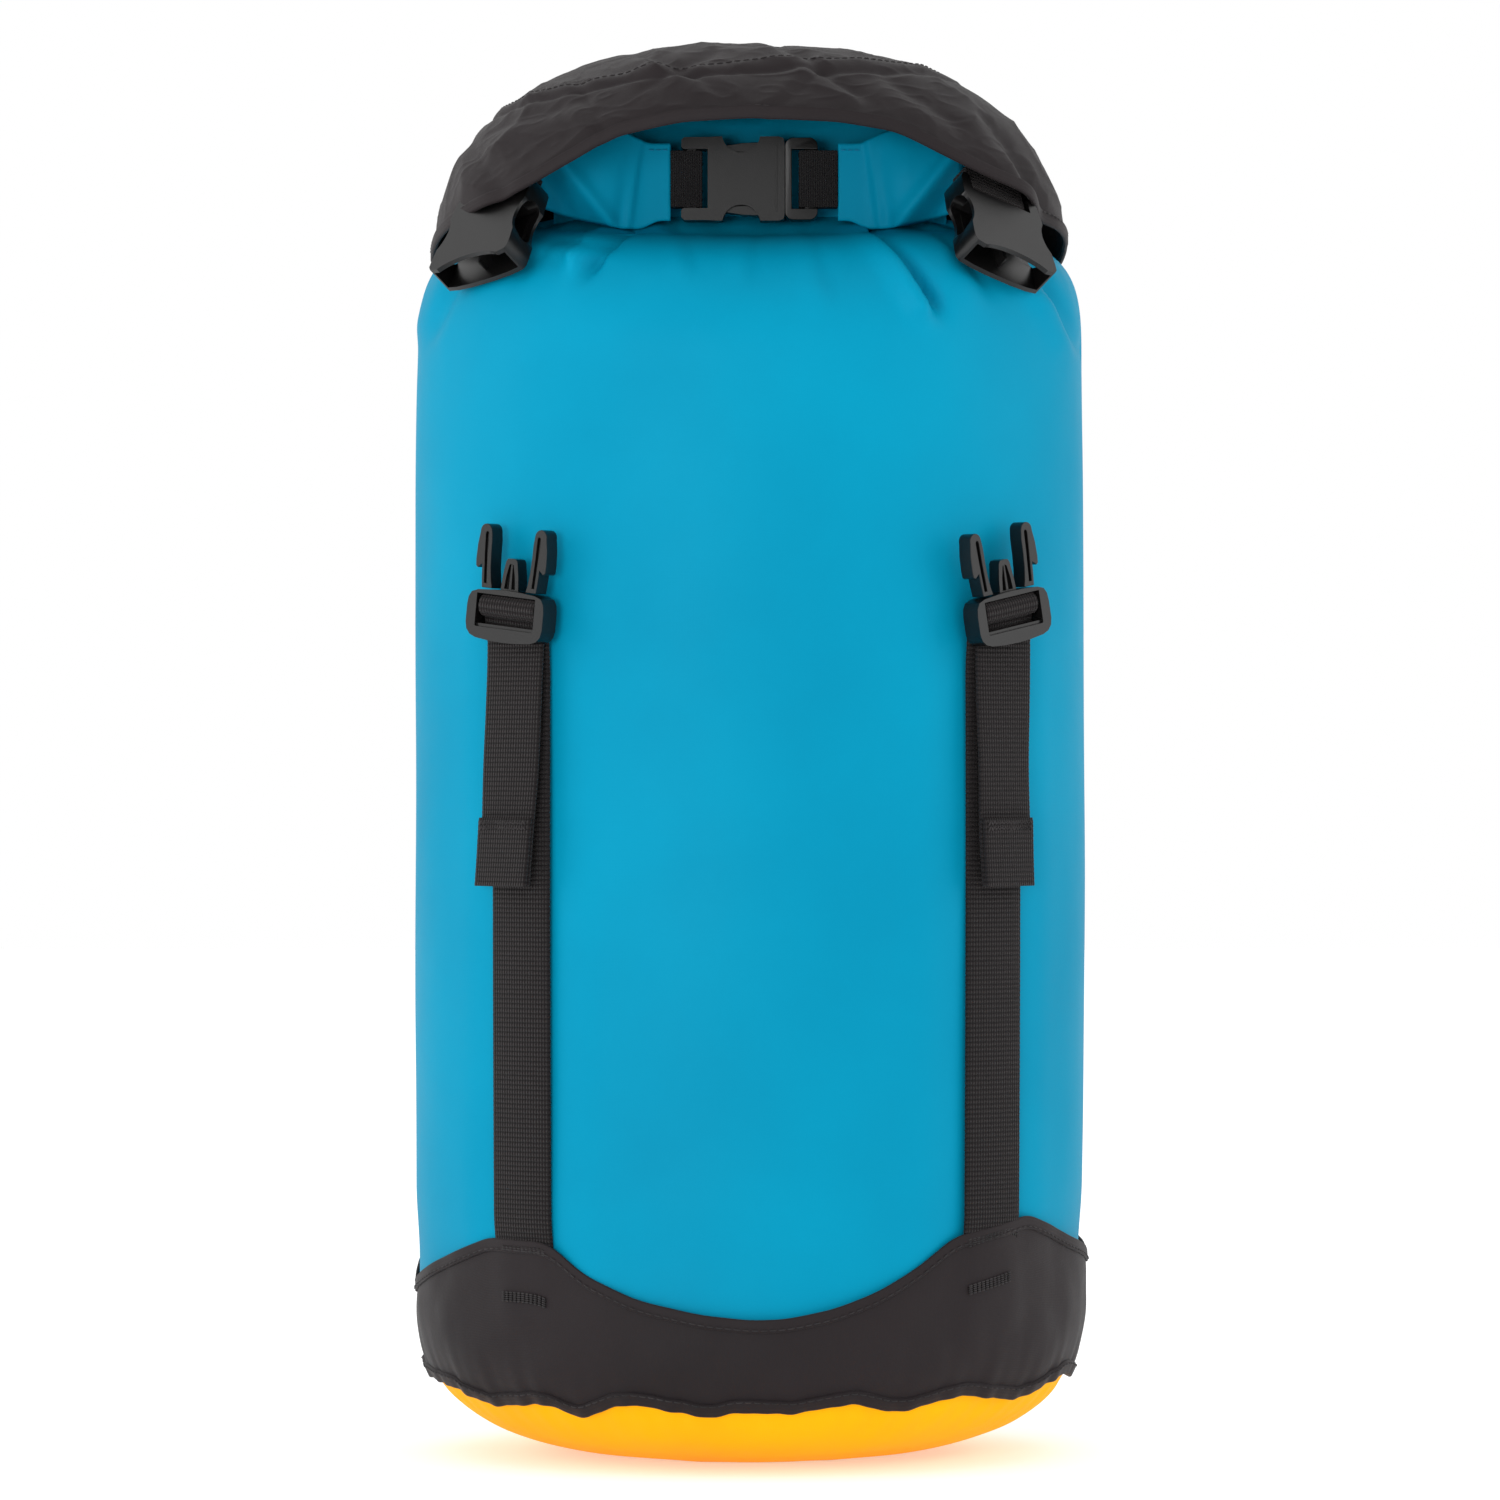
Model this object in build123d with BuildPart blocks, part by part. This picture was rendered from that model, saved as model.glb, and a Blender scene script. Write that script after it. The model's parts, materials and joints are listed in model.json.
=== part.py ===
from build123d import *
from math import cos, pi, radians, sin, sqrt
import os

os.makedirs("parts", exist_ok=True)

# A roll-top compression sack standing on its base, front towards -Y, +Z up, in millimetres.
# The origin is the centre of the flat patch that the sack rests on.

# ---- driving dimensions: the sack ----
HALF_WIDTH = 118.0  # half the width of the packed sack, along X
DEPTH_RATIO = 0.87  # depth over width of the oval section
BARREL = 0.9  # how much the middle of the sack swells past HALF_WIDTH
FABRIC = 1.2  # wall of the sack fabric, with its taped seams
BASE_ROUND = 62.0  # height over which the base rounds into the wall
BASE_FLAT = 1.5  # depth of crown pressed flat where the base rests
CUP_TOP = 58.0  # seam between the base cup and the body fabric
SPLIT = 240.0  # above this the body fabric folds up as the sack is compressed
SHOULDER = 385.0  # height where the shoulder starts to round in
CROWN = 439.0  # height where the shoulder would close
SHOULDER_SEAM = 416.0  # lower edge of the shoulder piece
SHOULDER_TOP = 435.8  # the shoulder is flat from here, under the rolled mouth

# ---- driving dimensions: base band ----
BAND_LOW = 19.0
BAND_HIGH = 80.0
BAND_GAP = 0.3
BAND_CLOTH = 1.2
HEM_HEIGHT = 5.0
SCALLOP_FRONT = (63.0, 30.0)  # half width and depth of the front and rear scallops
SCALLOP_SIDE = (46.0, 13.0)  # half width and depth of the side scallops

# ---- driving dimensions: lid ----
LID_HALF = 112.5
LID_BASE = 420.0  # height where the lid's dome starts
LID_TOP = 500.0
LID_SEAM = 484.0  # seam between the lid's top panel and its skirt
LID_CLOTH = 1.2
LID_REAR_HEM = 398.0
LID_SIDE_HEM = 423.0
LID_FLARE_FROM = 436.0
LID_FLARE = 0.2  # widening of the skirt towards its hem
LID_HEM = [(0, 472), (34, 471), (56, 466), (72, 456), (97, 451), (106, 440), (115, LID_SIDE_HEM), (130, 418)]
HEM_BINDING = 2.2  # depth of the rolled hem binding
BINDING_PROUD = 0.6

# ---- driving dimensions: webbing and buckles ----
STRAP = 25.0  # compression webbing
STRAP_THICK = 1.5
CLOSURE_STRAP = 20.0  # closure webbing
CLIP_WIDTH = 36.0
CLIP_LENGTH = 36.5
CLIP_THICK = 11.5
CLOSURE_WIDTH = 29.6
CLOSURE_LENGTH = 36.5
CLOSURE_THICK = 9.5
BUCKLE_WALL = 1.9
FRAME_THICK = 8.0
ADJUSTER_HEIGHT = 17.0
CLOSURE_FRAME_HEIGHT = 11.5
PRONG_LENGTH = 22.5
PRONG_THICK = 5.4
GUIDE_LENGTH = 13.0
GUIDE_WIDTH = 6.0
ROOT_GAP = 0.3  # clearance at the root of each latch prong
BAR_TALL = 5.0  # a buckle's webbing bar
BAR_HALF = 2.0
SLOT_TALL = 3.4
CAVITY_SHARE = 0.73  # how much of a socket's length its cavity takes
BUCKLE_EDGE = 0.9  # rounding of a socket's faces
WAIST_RADIUS = 13.5  # pinch grips at a socket's sides
WAIST_DEPTH = 3.0
FIT = 0.2  # room between webbing and the bar that it turns round
LADDER_HEIGHT = 24.0
LADDER_THICK = 6.0
REAR_STRAP_X = 82.0
STRAP_STANDOFF = 7.7  # an adjuster's mid plane above the fabric
STRAP_INNER = -6.2  # inner face of a strap, from the adjuster's mid plane

# ---- closure roll ----
ROLL_HALF = 69.5
ROLL_Y = -14.0
ROLL_THICK = 14.0
ROLL_LOW = 436.2
ROLL_HIGH = 466.5
CLOSURE_Y = -31.0
CLOSURE_Z = 451.0
PARTING_X = 12.3  # where the closure buckle's two halves meet
TAB_LOW = 437.5
TAB_HIGH = 463.5


def half_width(height):
    """Half width of the sack at a height: a barrel with cubic-superellipse ends."""
    if height < BASE_ROUND:
        share = 1 - (height + BASE_FLAT) / (BASE_ROUND + BASE_FLAT)
        return HALF_WIDTH * (1 - share**3) ** (1 / 3)
    if height < SHOULDER:
        return HALF_WIDTH + BARREL * sin(pi * (height - BASE_ROUND) / (SHOULDER - BASE_ROUND))
    share = (height - SHOULDER) / (CROWN - SHOULDER)
    return HALF_WIDTH * (1 - share**3.5) ** (1 / 3.5)


def lid_half_width(height):
    """Half width of the lid's dome at a height."""
    share = max(0.0, (height - LID_BASE) / (LID_TOP + 0.4 - LID_BASE))
    flare = max(0.0, LID_FLARE_FROM - height) * LID_FLARE
    return LID_HALF * (1 - share**2.5) ** 0.4 + flare


def oval(height, half):
    """One oval section of the sack or lid."""
    with BuildSketch(Plane.XY.offset(height)) as section:
        Ellipse(half, half * DEPTH_RATIO)
    return section.sketch


def ovals(heights, profile, offset=0.0):
    """Oval sections at several heights, moved out by an offset."""
    return [oval(height, profile(height) + offset) for height in heights]


def leaned(plane, angle):
    """The plane turned in its own face, anticlockwise seen from outside."""
    across = plane.x_dir.rotate(Axis((0, 0, 0), plane.z_dir), angle)
    return Plane(origin=plane.origin, x_dir=across, z_dir=plane.z_dir)


def wall_plane(x, height, standoff, rear=False):
    """A plane along the sack's wall: local x across, local y up, local z outwards."""
    half = HALF_WIDTH + BARREL
    depth = half * DEPTH_RATIO
    side = 1 if rear else -1
    y = side * depth * sqrt(1 - (x / half) ** 2)
    outward = Vector(x / half**2, y / depth**2, 0).normalized()
    origin = Vector(x, y, height) + outward * standoff
    return Plane(origin=origin, x_dir=Vector(0, 0, 1).cross(outward), z_dir=outward)


def turned_plane(origin, turn, pitch, lean):
    """A plane facing the front, turned about Z, pitched so its foot stands out, and leaning."""
    facing = Vector(sin(radians(turn)), -cos(radians(turn)), 0)
    across = Vector(cos(radians(turn)), sin(radians(turn)), 0)
    outward = facing.rotate(Axis((0, 0, 0), across), -pitch)
    return leaned(Plane(origin=origin, x_dir=across, z_dir=outward), lean)


def band(plane, width, low, high, near, far):
    """A flat strip in a plane: across its x, from low to high in y, from near to far in z."""
    with BuildPart() as strip:
        with BuildSketch(plane.offset(near)):
            with Locations((0, (low + high) / 2)):
                Rectangle(width, high - low)
        extrude(amount=far - near)
    return strip


def cross_bar(plane, strap, middle, tall, near, far):
    """A bar across a buckle's opening, for webbing to turn round."""
    return band(plane, strap + 1.6, middle - tall / 2, middle + tall / 2, near, far).part


def female_buckle(plane, width, length, thick, strap):
    """Side-release socket: mouth at y = 0, webbing bar at y = length, open side windows."""
    cavity_thick = thick - 2 * BUCKLE_WALL
    bar = cross_bar(plane, strap, length - BAR_TALL / 2, BAR_TALL, -BAR_HALF, BAR_HALF)
    with BuildPart() as buckle:
        with BuildSketch(plane.offset(-thick / 2)):
            with Locations((0, length / 2)):
                RectangleRounded(width, length, 2.6)
            waist = width / 2 + WAIST_RADIUS - WAIST_DEPTH
            with Locations((waist, length * 0.45), (-waist, length * 0.45)):
                Circle(WAIST_RADIUS, mode=Mode.SUBTRACT)
        extrude(amount=thick)
        fillet(buckle.faces().filter_by(Axis((0, 0, 0), plane.z_dir)).edges(), BUCKLE_EDGE)
        with BuildSketch(plane.offset(-cavity_thick / 2)):
            with Locations((0, length * CAVITY_SHARE / 2)):
                Rectangle(width - 2 * BUCKLE_WALL, length * CAVITY_SHARE)
            with Locations((0, length * 0.45)):
                Rectangle(width * 1.2, length * 0.29)
        extrude(amount=cavity_thick, mode=Mode.SUBTRACT)
        with BuildSketch(plane.offset(-thick)):
            with Locations((0, length - (BAR_TALL + SLOT_TALL) / 2)):
                Rectangle(strap + 1.5, BAR_TALL + SLOT_TALL)
        extrude(amount=2 * thick, mode=Mode.SUBTRACT)
        add(bar)
    return buckle


def male_frame(plane, width, height, strap, bars):
    """Side-release plug's frame below y = 0, open at the foot, with its guide standing above."""
    with BuildPart() as frame:
        with BuildSketch(plane.offset(-FRAME_THICK / 2)):
            with Locations((0, -height / 2)):
                RectangleRounded(width, height, 3.0)
            with Locations((0, -height - 2.4)):
                Rectangle(strap + 1.0, 2 * height, mode=Mode.SUBTRACT)
        extrude(amount=FRAME_THICK)
        with BuildSketch(plane.offset(-PRONG_THICK / 2)):
            with Locations((0, GUIDE_LENGTH / 2 - 1)):
                Rectangle(GUIDE_WIDTH, GUIDE_LENGTH + 2)
            with Locations((0, GUIDE_LENGTH - 3)):
                Rectangle(1.6, 8, mode=Mode.SUBTRACT)
        extrude(amount=PRONG_THICK)
        for bar in bars:
            add(bar)
    return frame


def latch_prong(plane, side, barb):
    """One latch arm of a side-release plug, rooted at y = ROOT_GAP; side is 1 or -1."""
    outline = [
        (barb - 6.6, ROOT_GAP),
        (barb - 3.0, ROOT_GAP),
        (barb - 2.2, PRONG_LENGTH * 0.42),
        (barb, PRONG_LENGTH * 0.42),
        (barb - 0.2, PRONG_LENGTH * 0.75),
        (barb - 2.6, PRONG_LENGTH),
        (barb - 4.6, PRONG_LENGTH),
        (barb - 5.4, PRONG_LENGTH * 0.6),
    ]
    with BuildPart() as prong:
        with BuildSketch(plane.offset(-PRONG_THICK / 2)):
            with BuildLine():
                Polyline(*[(side * x, y) for x, y in outline], close=True)
            make_face()
        extrude(amount=PRONG_THICK)
    return prong


def webbing_ring(plane, strap, low, high, bar_low, bar_high, bar_half):
    """Webbing turned round a bar, from low to high in y, with the bar's room left free."""
    outside = bar_half + FIT + STRAP_THICK
    with BuildPart() as ring:
        with BuildSketch(plane.offset(-outside)):
            with Locations((0, (low + high) / 2)):
                Rectangle(strap, high - low)
        extrude(amount=2 * outside)
        with BuildSketch(plane.offset(-bar_half - FIT)):
            with Locations((0, (bar_low + bar_high) / 2)):
                Rectangle(strap + 2, bar_high - bar_low + 2 * FIT)
        extrude(amount=2 * (bar_half + FIT), mode=Mode.SUBTRACT)
    return ring


def save(builder, label):
    """Label a finished piece and write it."""
    builder.part.label = label
    export_step(builder.part, f"parts/{label}.step")


# ================= the sack's base: a round-bottomed cup and its reinforcing band =================

CUP_LEVELS = [0, 1.5, 4, 8, 14, 22, 32, 44, CUP_TOP]
with BuildPart() as base_cup:
    loft(ovals(CUP_LEVELS, half_width))
    inner_levels = [FABRIC * 1.5] + [level for level in CUP_LEVELS if level > 3]
    loft(ovals(inner_levels, half_width, -FABRIC), mode=Mode.SUBTRACT)
save(base_cup, "base_cup")

LOWER_LEVELS = [CUP_TOP, 90, 120, 150, 180, 210, SPLIT]
with BuildPart() as body_fabric_lower:
    loft(ovals(LOWER_LEVELS, half_width))
    loft(ovals(LOWER_LEVELS, half_width, -FABRIC), mode=Mode.SUBTRACT)
save(body_fabric_lower, "body_fabric_lower")

UPPER_LEVELS = [SPLIT, 290, 340, SHOULDER]
ROUNDING_LEVELS = [SHOULDER, 396, 406, SHOULDER_SEAM]
with BuildPart() as body_fabric_upper:
    for levels in (UPPER_LEVELS, ROUNDING_LEVELS):
        loft(ovals(levels, half_width))
    for levels in (UPPER_LEVELS, ROUNDING_LEVELS):
        loft(ovals(levels, half_width, -FABRIC), mode=Mode.SUBTRACT)
save(body_fabric_upper, "body_fabric_upper")

BAND_LEVELS = [BAND_LOW + HEM_HEIGHT, 34, 46, BASE_ROUND, BAND_HIGH]
with BuildPart() as base_band:
    loft(ovals(BAND_LEVELS, half_width, BAND_GAP + BAND_CLOTH))
    loft(ovals(BAND_LEVELS, half_width, BAND_GAP), mode=Mode.SUBTRACT)
    with BuildSketch(Plane.XZ.offset(-2 * HALF_WIDTH)):
        with Locations((0, BAND_HIGH)):
            Ellipse(*SCALLOP_FRONT)
    extrude(amount=4 * HALF_WIDTH, mode=Mode.SUBTRACT)
    with BuildSketch(Plane.YZ.offset(-2 * HALF_WIDTH)):
        with Locations((0, BAND_HIGH)):
            Ellipse(*SCALLOP_SIDE)
    extrude(amount=4 * HALF_WIDTH, mode=Mode.SUBTRACT)
save(base_band, "base_band")

HEM_LEVELS = [BAND_LOW, BAND_LOW + HEM_HEIGHT]
with BuildPart() as base_band_elastic_hem:
    loft(ovals(HEM_LEVELS, half_width, BAND_GAP + 2.2))
    loft(ovals(HEM_LEVELS, half_width, BAND_GAP), mode=Mode.SUBTRACT)
save(base_band_elastic_hem, "base_band_elastic_hem")

# ================= compression straps, from the band up to their buckles =================

FRONT_STRAP_X = {"left": -76.8, "right": 82.5}
ADJUSTER_LEAN = {"left": -6.6, "right": 11.0}  # degrees that each adjuster leans from the vertical
ADJUSTER_Z = 304.5  # shoulder of the adjuster's frame
FRONT_TAIL_END = 203.0
LADDER_Z = 388.0  # top edge of the rear ladder locks
REAR_TAIL_END = 236.0
TAIL_HEM = 24.0  # the doubled end of a loose tail
BARTACK_THICK = 0.9
BARTACK_STANDOFF = 0.75

bartacks = []
for side, strap_x in FRONT_STRAP_X.items():
    foot = wall_plane(strap_x, BAND_HIGH, STRAP_STANDOFF)
    reach = ADJUSTER_Z - BAND_HIGH - 12.0
    strap_front = band(foot, STRAP, 0.3, reach, STRAP_INNER, STRAP_INNER + STRAP_THICK)
    save(strap_front, f"strap_front_{side}")
    for below in (4.5, 21.0):
        patch = wall_plane(strap_x, BAND_HIGH - below, BARTACK_STANDOFF)
        bartacks.append(band(patch, STRAP - 2, -1.7, 1.7, 0, BARTACK_THICK).part)

for side, strap_x in {"left": -REAR_STRAP_X, "right": REAR_STRAP_X}.items():
    foot = wall_plane(strap_x, BAND_HIGH, STRAP_STANDOFF, rear=True)
    reach = LADDER_Z - BAND_HIGH - 19.0
    strap_rear = band(foot, STRAP, 0.3, reach, STRAP_INNER, STRAP_INNER + STRAP_THICK)
    save(strap_rear, f"strap_rear_{side}")
    for below in (4.5, 21.0):
        patch = wall_plane(strap_x, BAND_HIGH - below, BARTACK_STANDOFF, rear=True)
        bartacks.append(band(patch, STRAP - 2, -1.7, 1.7, 0, BARTACK_THICK).part)

with BuildPart() as strap_bartacks:
    for patch in bartacks:
        add(patch)
save(strap_bartacks, "strap_bartacks")

# ================= front adjusters: plug, latch prongs, turned webbing and loose tail =============

ADJUSTER_WIDTH = STRAP + 9.0
CENTRE_BAR = -6.1
ADJUSTER_BARB = 15.4
for side, strap_x in FRONT_STRAP_X.items():
    upright = wall_plane(strap_x, ADJUSTER_Z, STRAP_STANDOFF)
    mid = leaned(upright, ADJUSTER_LEAN[side])
    bars = [
        cross_bar(mid, STRAP, CENTRE_BAR, 3.0, -2.0, 2.0),
        cross_bar(mid, STRAP, -ADJUSTER_HEIGHT + 2.3, 4.6, 0.0, FRAME_THICK / 2),
    ]
    frame = male_frame(mid, ADJUSTER_WIDTH, ADJUSTER_HEIGHT, STRAP, bars)
    save(frame, f"adjuster_frame_{side}")
    ring = webbing_ring(mid, STRAP, -10.2, -2.5, CENTRE_BAR - 1.5, CENTRE_BAR + 1.5, 1.9)
    save(ring, f"adjuster_webbing_{side}")
    save(latch_prong(mid, 1, ADJUSTER_BARB), f"latch_prong_{side}_a")
    save(latch_prong(mid, -1, ADJUSTER_BARB), f"latch_prong_{side}_b")
    tail_low = FRONT_TAIL_END - ADJUSTER_Z
    with BuildPart() as strap_tail:
        add(band(mid, STRAP, -21.5, -10.5, -2.1, -0.6).part)
        add(band(upright, STRAP, tail_low + TAIL_HEM, -20.4, -2.1, -0.6).part)
    save(strap_tail, f"strap_tail_{side}")
    hem = band(upright, STRAP, tail_low, tail_low + TAIL_HEM - 0.1, -2.1, 0.9)
    save(hem, f"strap_tail_hem_{side}")

# ================= shoulder and rolled mouth =================

SHOULDER_LEVELS = [SHOULDER_SEAM, 420, 424, 428, 431, 434, SHOULDER_TOP]
SHOULDER_INSIDE = [level for level in SHOULDER_LEVELS if level < SHOULDER_TOP - FABRIC]
with BuildPart() as shoulder:
    loft(ovals(SHOULDER_LEVELS, half_width))
    loft(ovals(SHOULDER_INSIDE, half_width, -FABRIC), mode=Mode.SUBTRACT)
save(shoulder, "shoulder")

ROLL_Z = (ROLL_LOW + ROLL_HIGH) / 2
with BuildPart() as rolled_mouth:
    with BuildSketch(Plane.YZ.offset(-ROLL_HALF)):
        with Locations((ROLL_Y, ROLL_Z)):
            RectangleRounded(ROLL_THICK, ROLL_HIGH - ROLL_LOW, 6.5)
            Rectangle(2.4, 20.4, mode=Mode.SUBTRACT)
    extrude(amount=2 * ROLL_HALF)
save(rolled_mouth, "rolled_mouth")

with BuildPart() as mouth_stiffener:
    with BuildSketch(Plane.YZ.offset(3 - ROLL_HALF)):
        with Locations((ROLL_Y, ROLL_Z)):
            Rectangle(2.0, 20.0)
    extrude(amount=2 * ROLL_HALF - 6)
save(mouth_stiffener, "mouth_stiffener")

# ================= closure: the roll's ends folded forward to a side-release buckle ==============

FOLD_RADIUS = 11.5
TAB_THICK = 7.0
FOLD_X = ROLL_HALF + 0.4
FOLD_Y = CLOSURE_Y + FOLD_RADIUS - TAB_THICK / 2
LEFT_TAB_END = -28.0
RIGHT_TAB_END = 31.0
for side, sign, tab_end in (("left", -1, -LEFT_TAB_END), ("right", 1, RIGHT_TAB_END)):
    with BuildPart() as tab:
        with BuildSketch(Plane.XY.offset(TAB_LOW)):
            with Locations((sign * (FOLD_X + tab_end) / 2, CLOSURE_Y)):
                Rectangle(FOLD_X - tab_end, TAB_THICK)
            with Locations((sign * FOLD_X, FOLD_Y)):
                Circle(FOLD_RADIUS)
                Circle(FOLD_RADIUS - TAB_THICK, mode=Mode.SUBTRACT)
            with Locations((sign * (FOLD_X - FOLD_RADIUS), FOLD_Y + TAB_THICK / 2)):
                Rectangle(2 * FOLD_RADIUS, 2 * FOLD_RADIUS - TAB_THICK, mode=Mode.SUBTRACT)
        extrude(amount=TAB_HIGH - TAB_LOW)
    save(tab, f"roll_tab_{side}")

closure = Plane(origin=(PARTING_X, CLOSURE_Y, CLOSURE_Z), x_dir=(0, 0, 1), z_dir=(0, -1, 0))
socket = female_buckle(closure, CLOSURE_WIDTH, CLOSURE_LENGTH, CLOSURE_THICK, CLOSURE_STRAP)
save(socket, "closure_socket")
bar = cross_bar(closure, CLOSURE_STRAP, 2.5 - CLOSURE_FRAME_HEIGHT, 4.0, -BAR_HALF, BAR_HALF)
plug = male_frame(closure, CLOSURE_WIDTH - 0.6, CLOSURE_FRAME_HEIGHT, CLOSURE_STRAP, [bar])
save(plug, "closure_plug")
CLOSURE_BARB = 12.4
save(latch_prong(closure, 1, CLOSURE_BARB), "closure_prong_upper")
save(latch_prong(closure, -1, CLOSURE_BARB), "closure_prong_lower")

left_end = PARTING_X - LEFT_TAB_END - 0.1
bar_end = CLOSURE_LENGTH
ring = webbing_ring(closure, CLOSURE_STRAP, bar_end - BAR_TALL - 2.4, left_end,
                    bar_end - BAR_TALL, bar_end, BAR_HALF)
save(ring, "closure_webbing_left")
right_end = PARTING_X - RIGHT_TAB_END + 0.1
ring = webbing_ring(closure, CLOSURE_STRAP, right_end, 0.9 - CLOSURE_FRAME_HEIGHT / 2,
                    0.5 - CLOSURE_FRAME_HEIGHT, 4.5 - CLOSURE_FRAME_HEIGHT, BAR_HALF)
save(ring, "closure_webbing_right")

# ================= rear ladder locks, sewn under the lid's rear hem ==============================

for side, strap_x in {"left": -REAR_STRAP_X, "right": REAR_STRAP_X}.items():
    lock = wall_plane(strap_x, LADDER_Z, STRAP_STANDOFF, rear=True)
    with BuildPart() as ladder_lock:
        with BuildSketch(lock.offset(-LADDER_THICK / 2)):
            with Locations((0, -LADDER_HEIGHT / 2)):
                RectangleRounded(ADJUSTER_WIDTH, LADDER_HEIGHT, 3.0)
            with Locations((0, -5.4), (0, -LADDER_HEIGHT + 3.4)):
                Rectangle(STRAP + 1.0, 3.6, mode=Mode.SUBTRACT)
            with Locations((0, -12.4)):
                Rectangle(STRAP + 1.0, 4.0, mode=Mode.SUBTRACT)
            with Locations((0, -LADDER_HEIGHT)):
                Rectangle(STRAP + 1.0, 3.4, mode=Mode.SUBTRACT)
        extrude(amount=LADDER_THICK)
    save(ladder_lock, f"ladder_lock_{side}")
    lock_webbing = webbing_ring(lock, STRAP, -20.7, -12.5, -18.8, -14.4, LADDER_THICK / 2)
    save(lock_webbing, f"ladder_webbing_{side}")
    tail_low = REAR_TAIL_END - LADDER_Z
    rear_tail = band(lock, STRAP, tail_low + TAIL_HEM, -20.9, -2.1, -0.6)
    save(rear_tail, f"strap_tail_rear_{side}")
    rear_hem = band(lock, STRAP, tail_low, tail_low + TAIL_HEM - 0.1, -2.1, 0.9)
    save(rear_hem, f"strap_tail_hem_rear_{side}")
    rear_tab = webbing_ring(lock, STRAP, -6.6, 11.0, -3.6, 0.0, LADDER_THICK / 2)
    save(rear_tab, f"lid_tab_rear_{side}")

# ================= lid: domed panel, skirt and hem binding =======================================


def lifted_hem(lift):
    """The front hem line, from right to left, lifted."""
    right = [(x, z + lift) for x, z in LID_HEM]
    return list(reversed(right)) + [(-x, z) for x, z in right[1:]]


def front_cutter(lift):
    """Everything in front of the middle and below the lifted front hem line."""
    points = lifted_hem(lift)
    ends = LID_HEM[-1][0]
    with BuildSketch(Plane.XZ) as region:
        with BuildLine():
            Spline(*points)
            Polyline(points[-1], (-ends, BELOW), (ends, BELOW), points[0])
        make_face()
    return extrude(region.sketch, amount=2 * HALF_WIDTH)


def rear_cutter(lift):
    """Everything behind the middle and below the lifted, sloping rear hem line."""
    with BuildSketch(Plane.YZ.offset(-2 * HALF_WIDTH)) as region:
        with BuildLine():
            Polyline((0, BELOW), (0, LID_SIDE_HEM + lift), (LID_HALF, LID_REAR_HEM + lift),
                     (2 * LID_HALF, LID_REAR_HEM + lift), (2 * LID_HALF, BELOW), close=True)
        make_face()
    return extrude(region.sketch, amount=4 * HALF_WIDTH)


BELOW = 370.0
SKIRT_LEVELS = [390, 405, 420, 432, 444, 456, 466, 476, LID_SEAM]
with BuildPart() as lid_skirt:
    loft(ovals(SKIRT_LEVELS, lid_half_width))
    loft(ovals(SKIRT_LEVELS, lid_half_width, -LID_CLOTH), mode=Mode.SUBTRACT)
    add(front_cutter(HEM_BINDING), mode=Mode.SUBTRACT)
    add(rear_cutter(HEM_BINDING), mode=Mode.SUBTRACT)
save(lid_skirt, "lid_skirt")

with BuildPart() as lid_hem_binding:
    add(front_cutter(HEM_BINDING))
    add(front_cutter(0.0), mode=Mode.SUBTRACT)
    add(rear_cutter(HEM_BINDING))
    add(rear_cutter(0.0), mode=Mode.SUBTRACT)
    loft(ovals(SKIRT_LEVELS, lid_half_width, BINDING_PROUD), mode=Mode.INTERSECT)
    loft(ovals(SKIRT_LEVELS, lid_half_width, -LID_CLOTH), mode=Mode.SUBTRACT)
save(lid_hem_binding, "lid_hem_binding")

PANEL_LEVELS = [LID_SEAM, 488, 492, 495, 497.5, 499, LID_TOP]
PANEL_INSIDE = [level for level in PANEL_LEVELS if level < LID_TOP - LID_CLOTH]
with BuildPart() as lid_top_panel:
    loft(ovals(PANEL_LEVELS, lid_half_width))
    loft(ovals(PANEL_INSIDE, lid_half_width, -LID_CLOTH), mode=Mode.SUBTRACT)
save(lid_top_panel, "lid_top_panel")

# ================= front clips: sockets hanging from webbing tabs under the lid's hem ============

CLIPS = {
    "left": {"mouth": (-95.0, -67.5, 416.5), "turn": -46.0, "lean": 13.0},
    "right": {"mouth": (89.0, -75.0, 417.0), "turn": 47.0, "lean": -22.0},
}
CLIP_PITCH = 37.0
TAB_REACH = 5.0
for side, clip in CLIPS.items():
    hanging = turned_plane(clip["mouth"], clip["turn"], CLIP_PITCH, clip["lean"])
    socket = female_buckle(hanging, CLIP_WIDTH, CLIP_LENGTH, CLIP_THICK, STRAP)
    save(socket, f"clip_socket_{side}")
    ring = webbing_ring(hanging, STRAP, CLIP_LENGTH - BAR_TALL - 2.4, CLIP_LENGTH + TAB_REACH,
                        CLIP_LENGTH - BAR_TALL, CLIP_LENGTH, BAR_HALF)
    save(ring, f"clip_tab_{side}")
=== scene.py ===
"""A roll-top compression sack: blue coated body, yellow base with a black band, black lid."""
import json
import math

import bmesh
import bpy
import numpy as np
from mathutils import Matrix, Vector, noise

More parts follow.
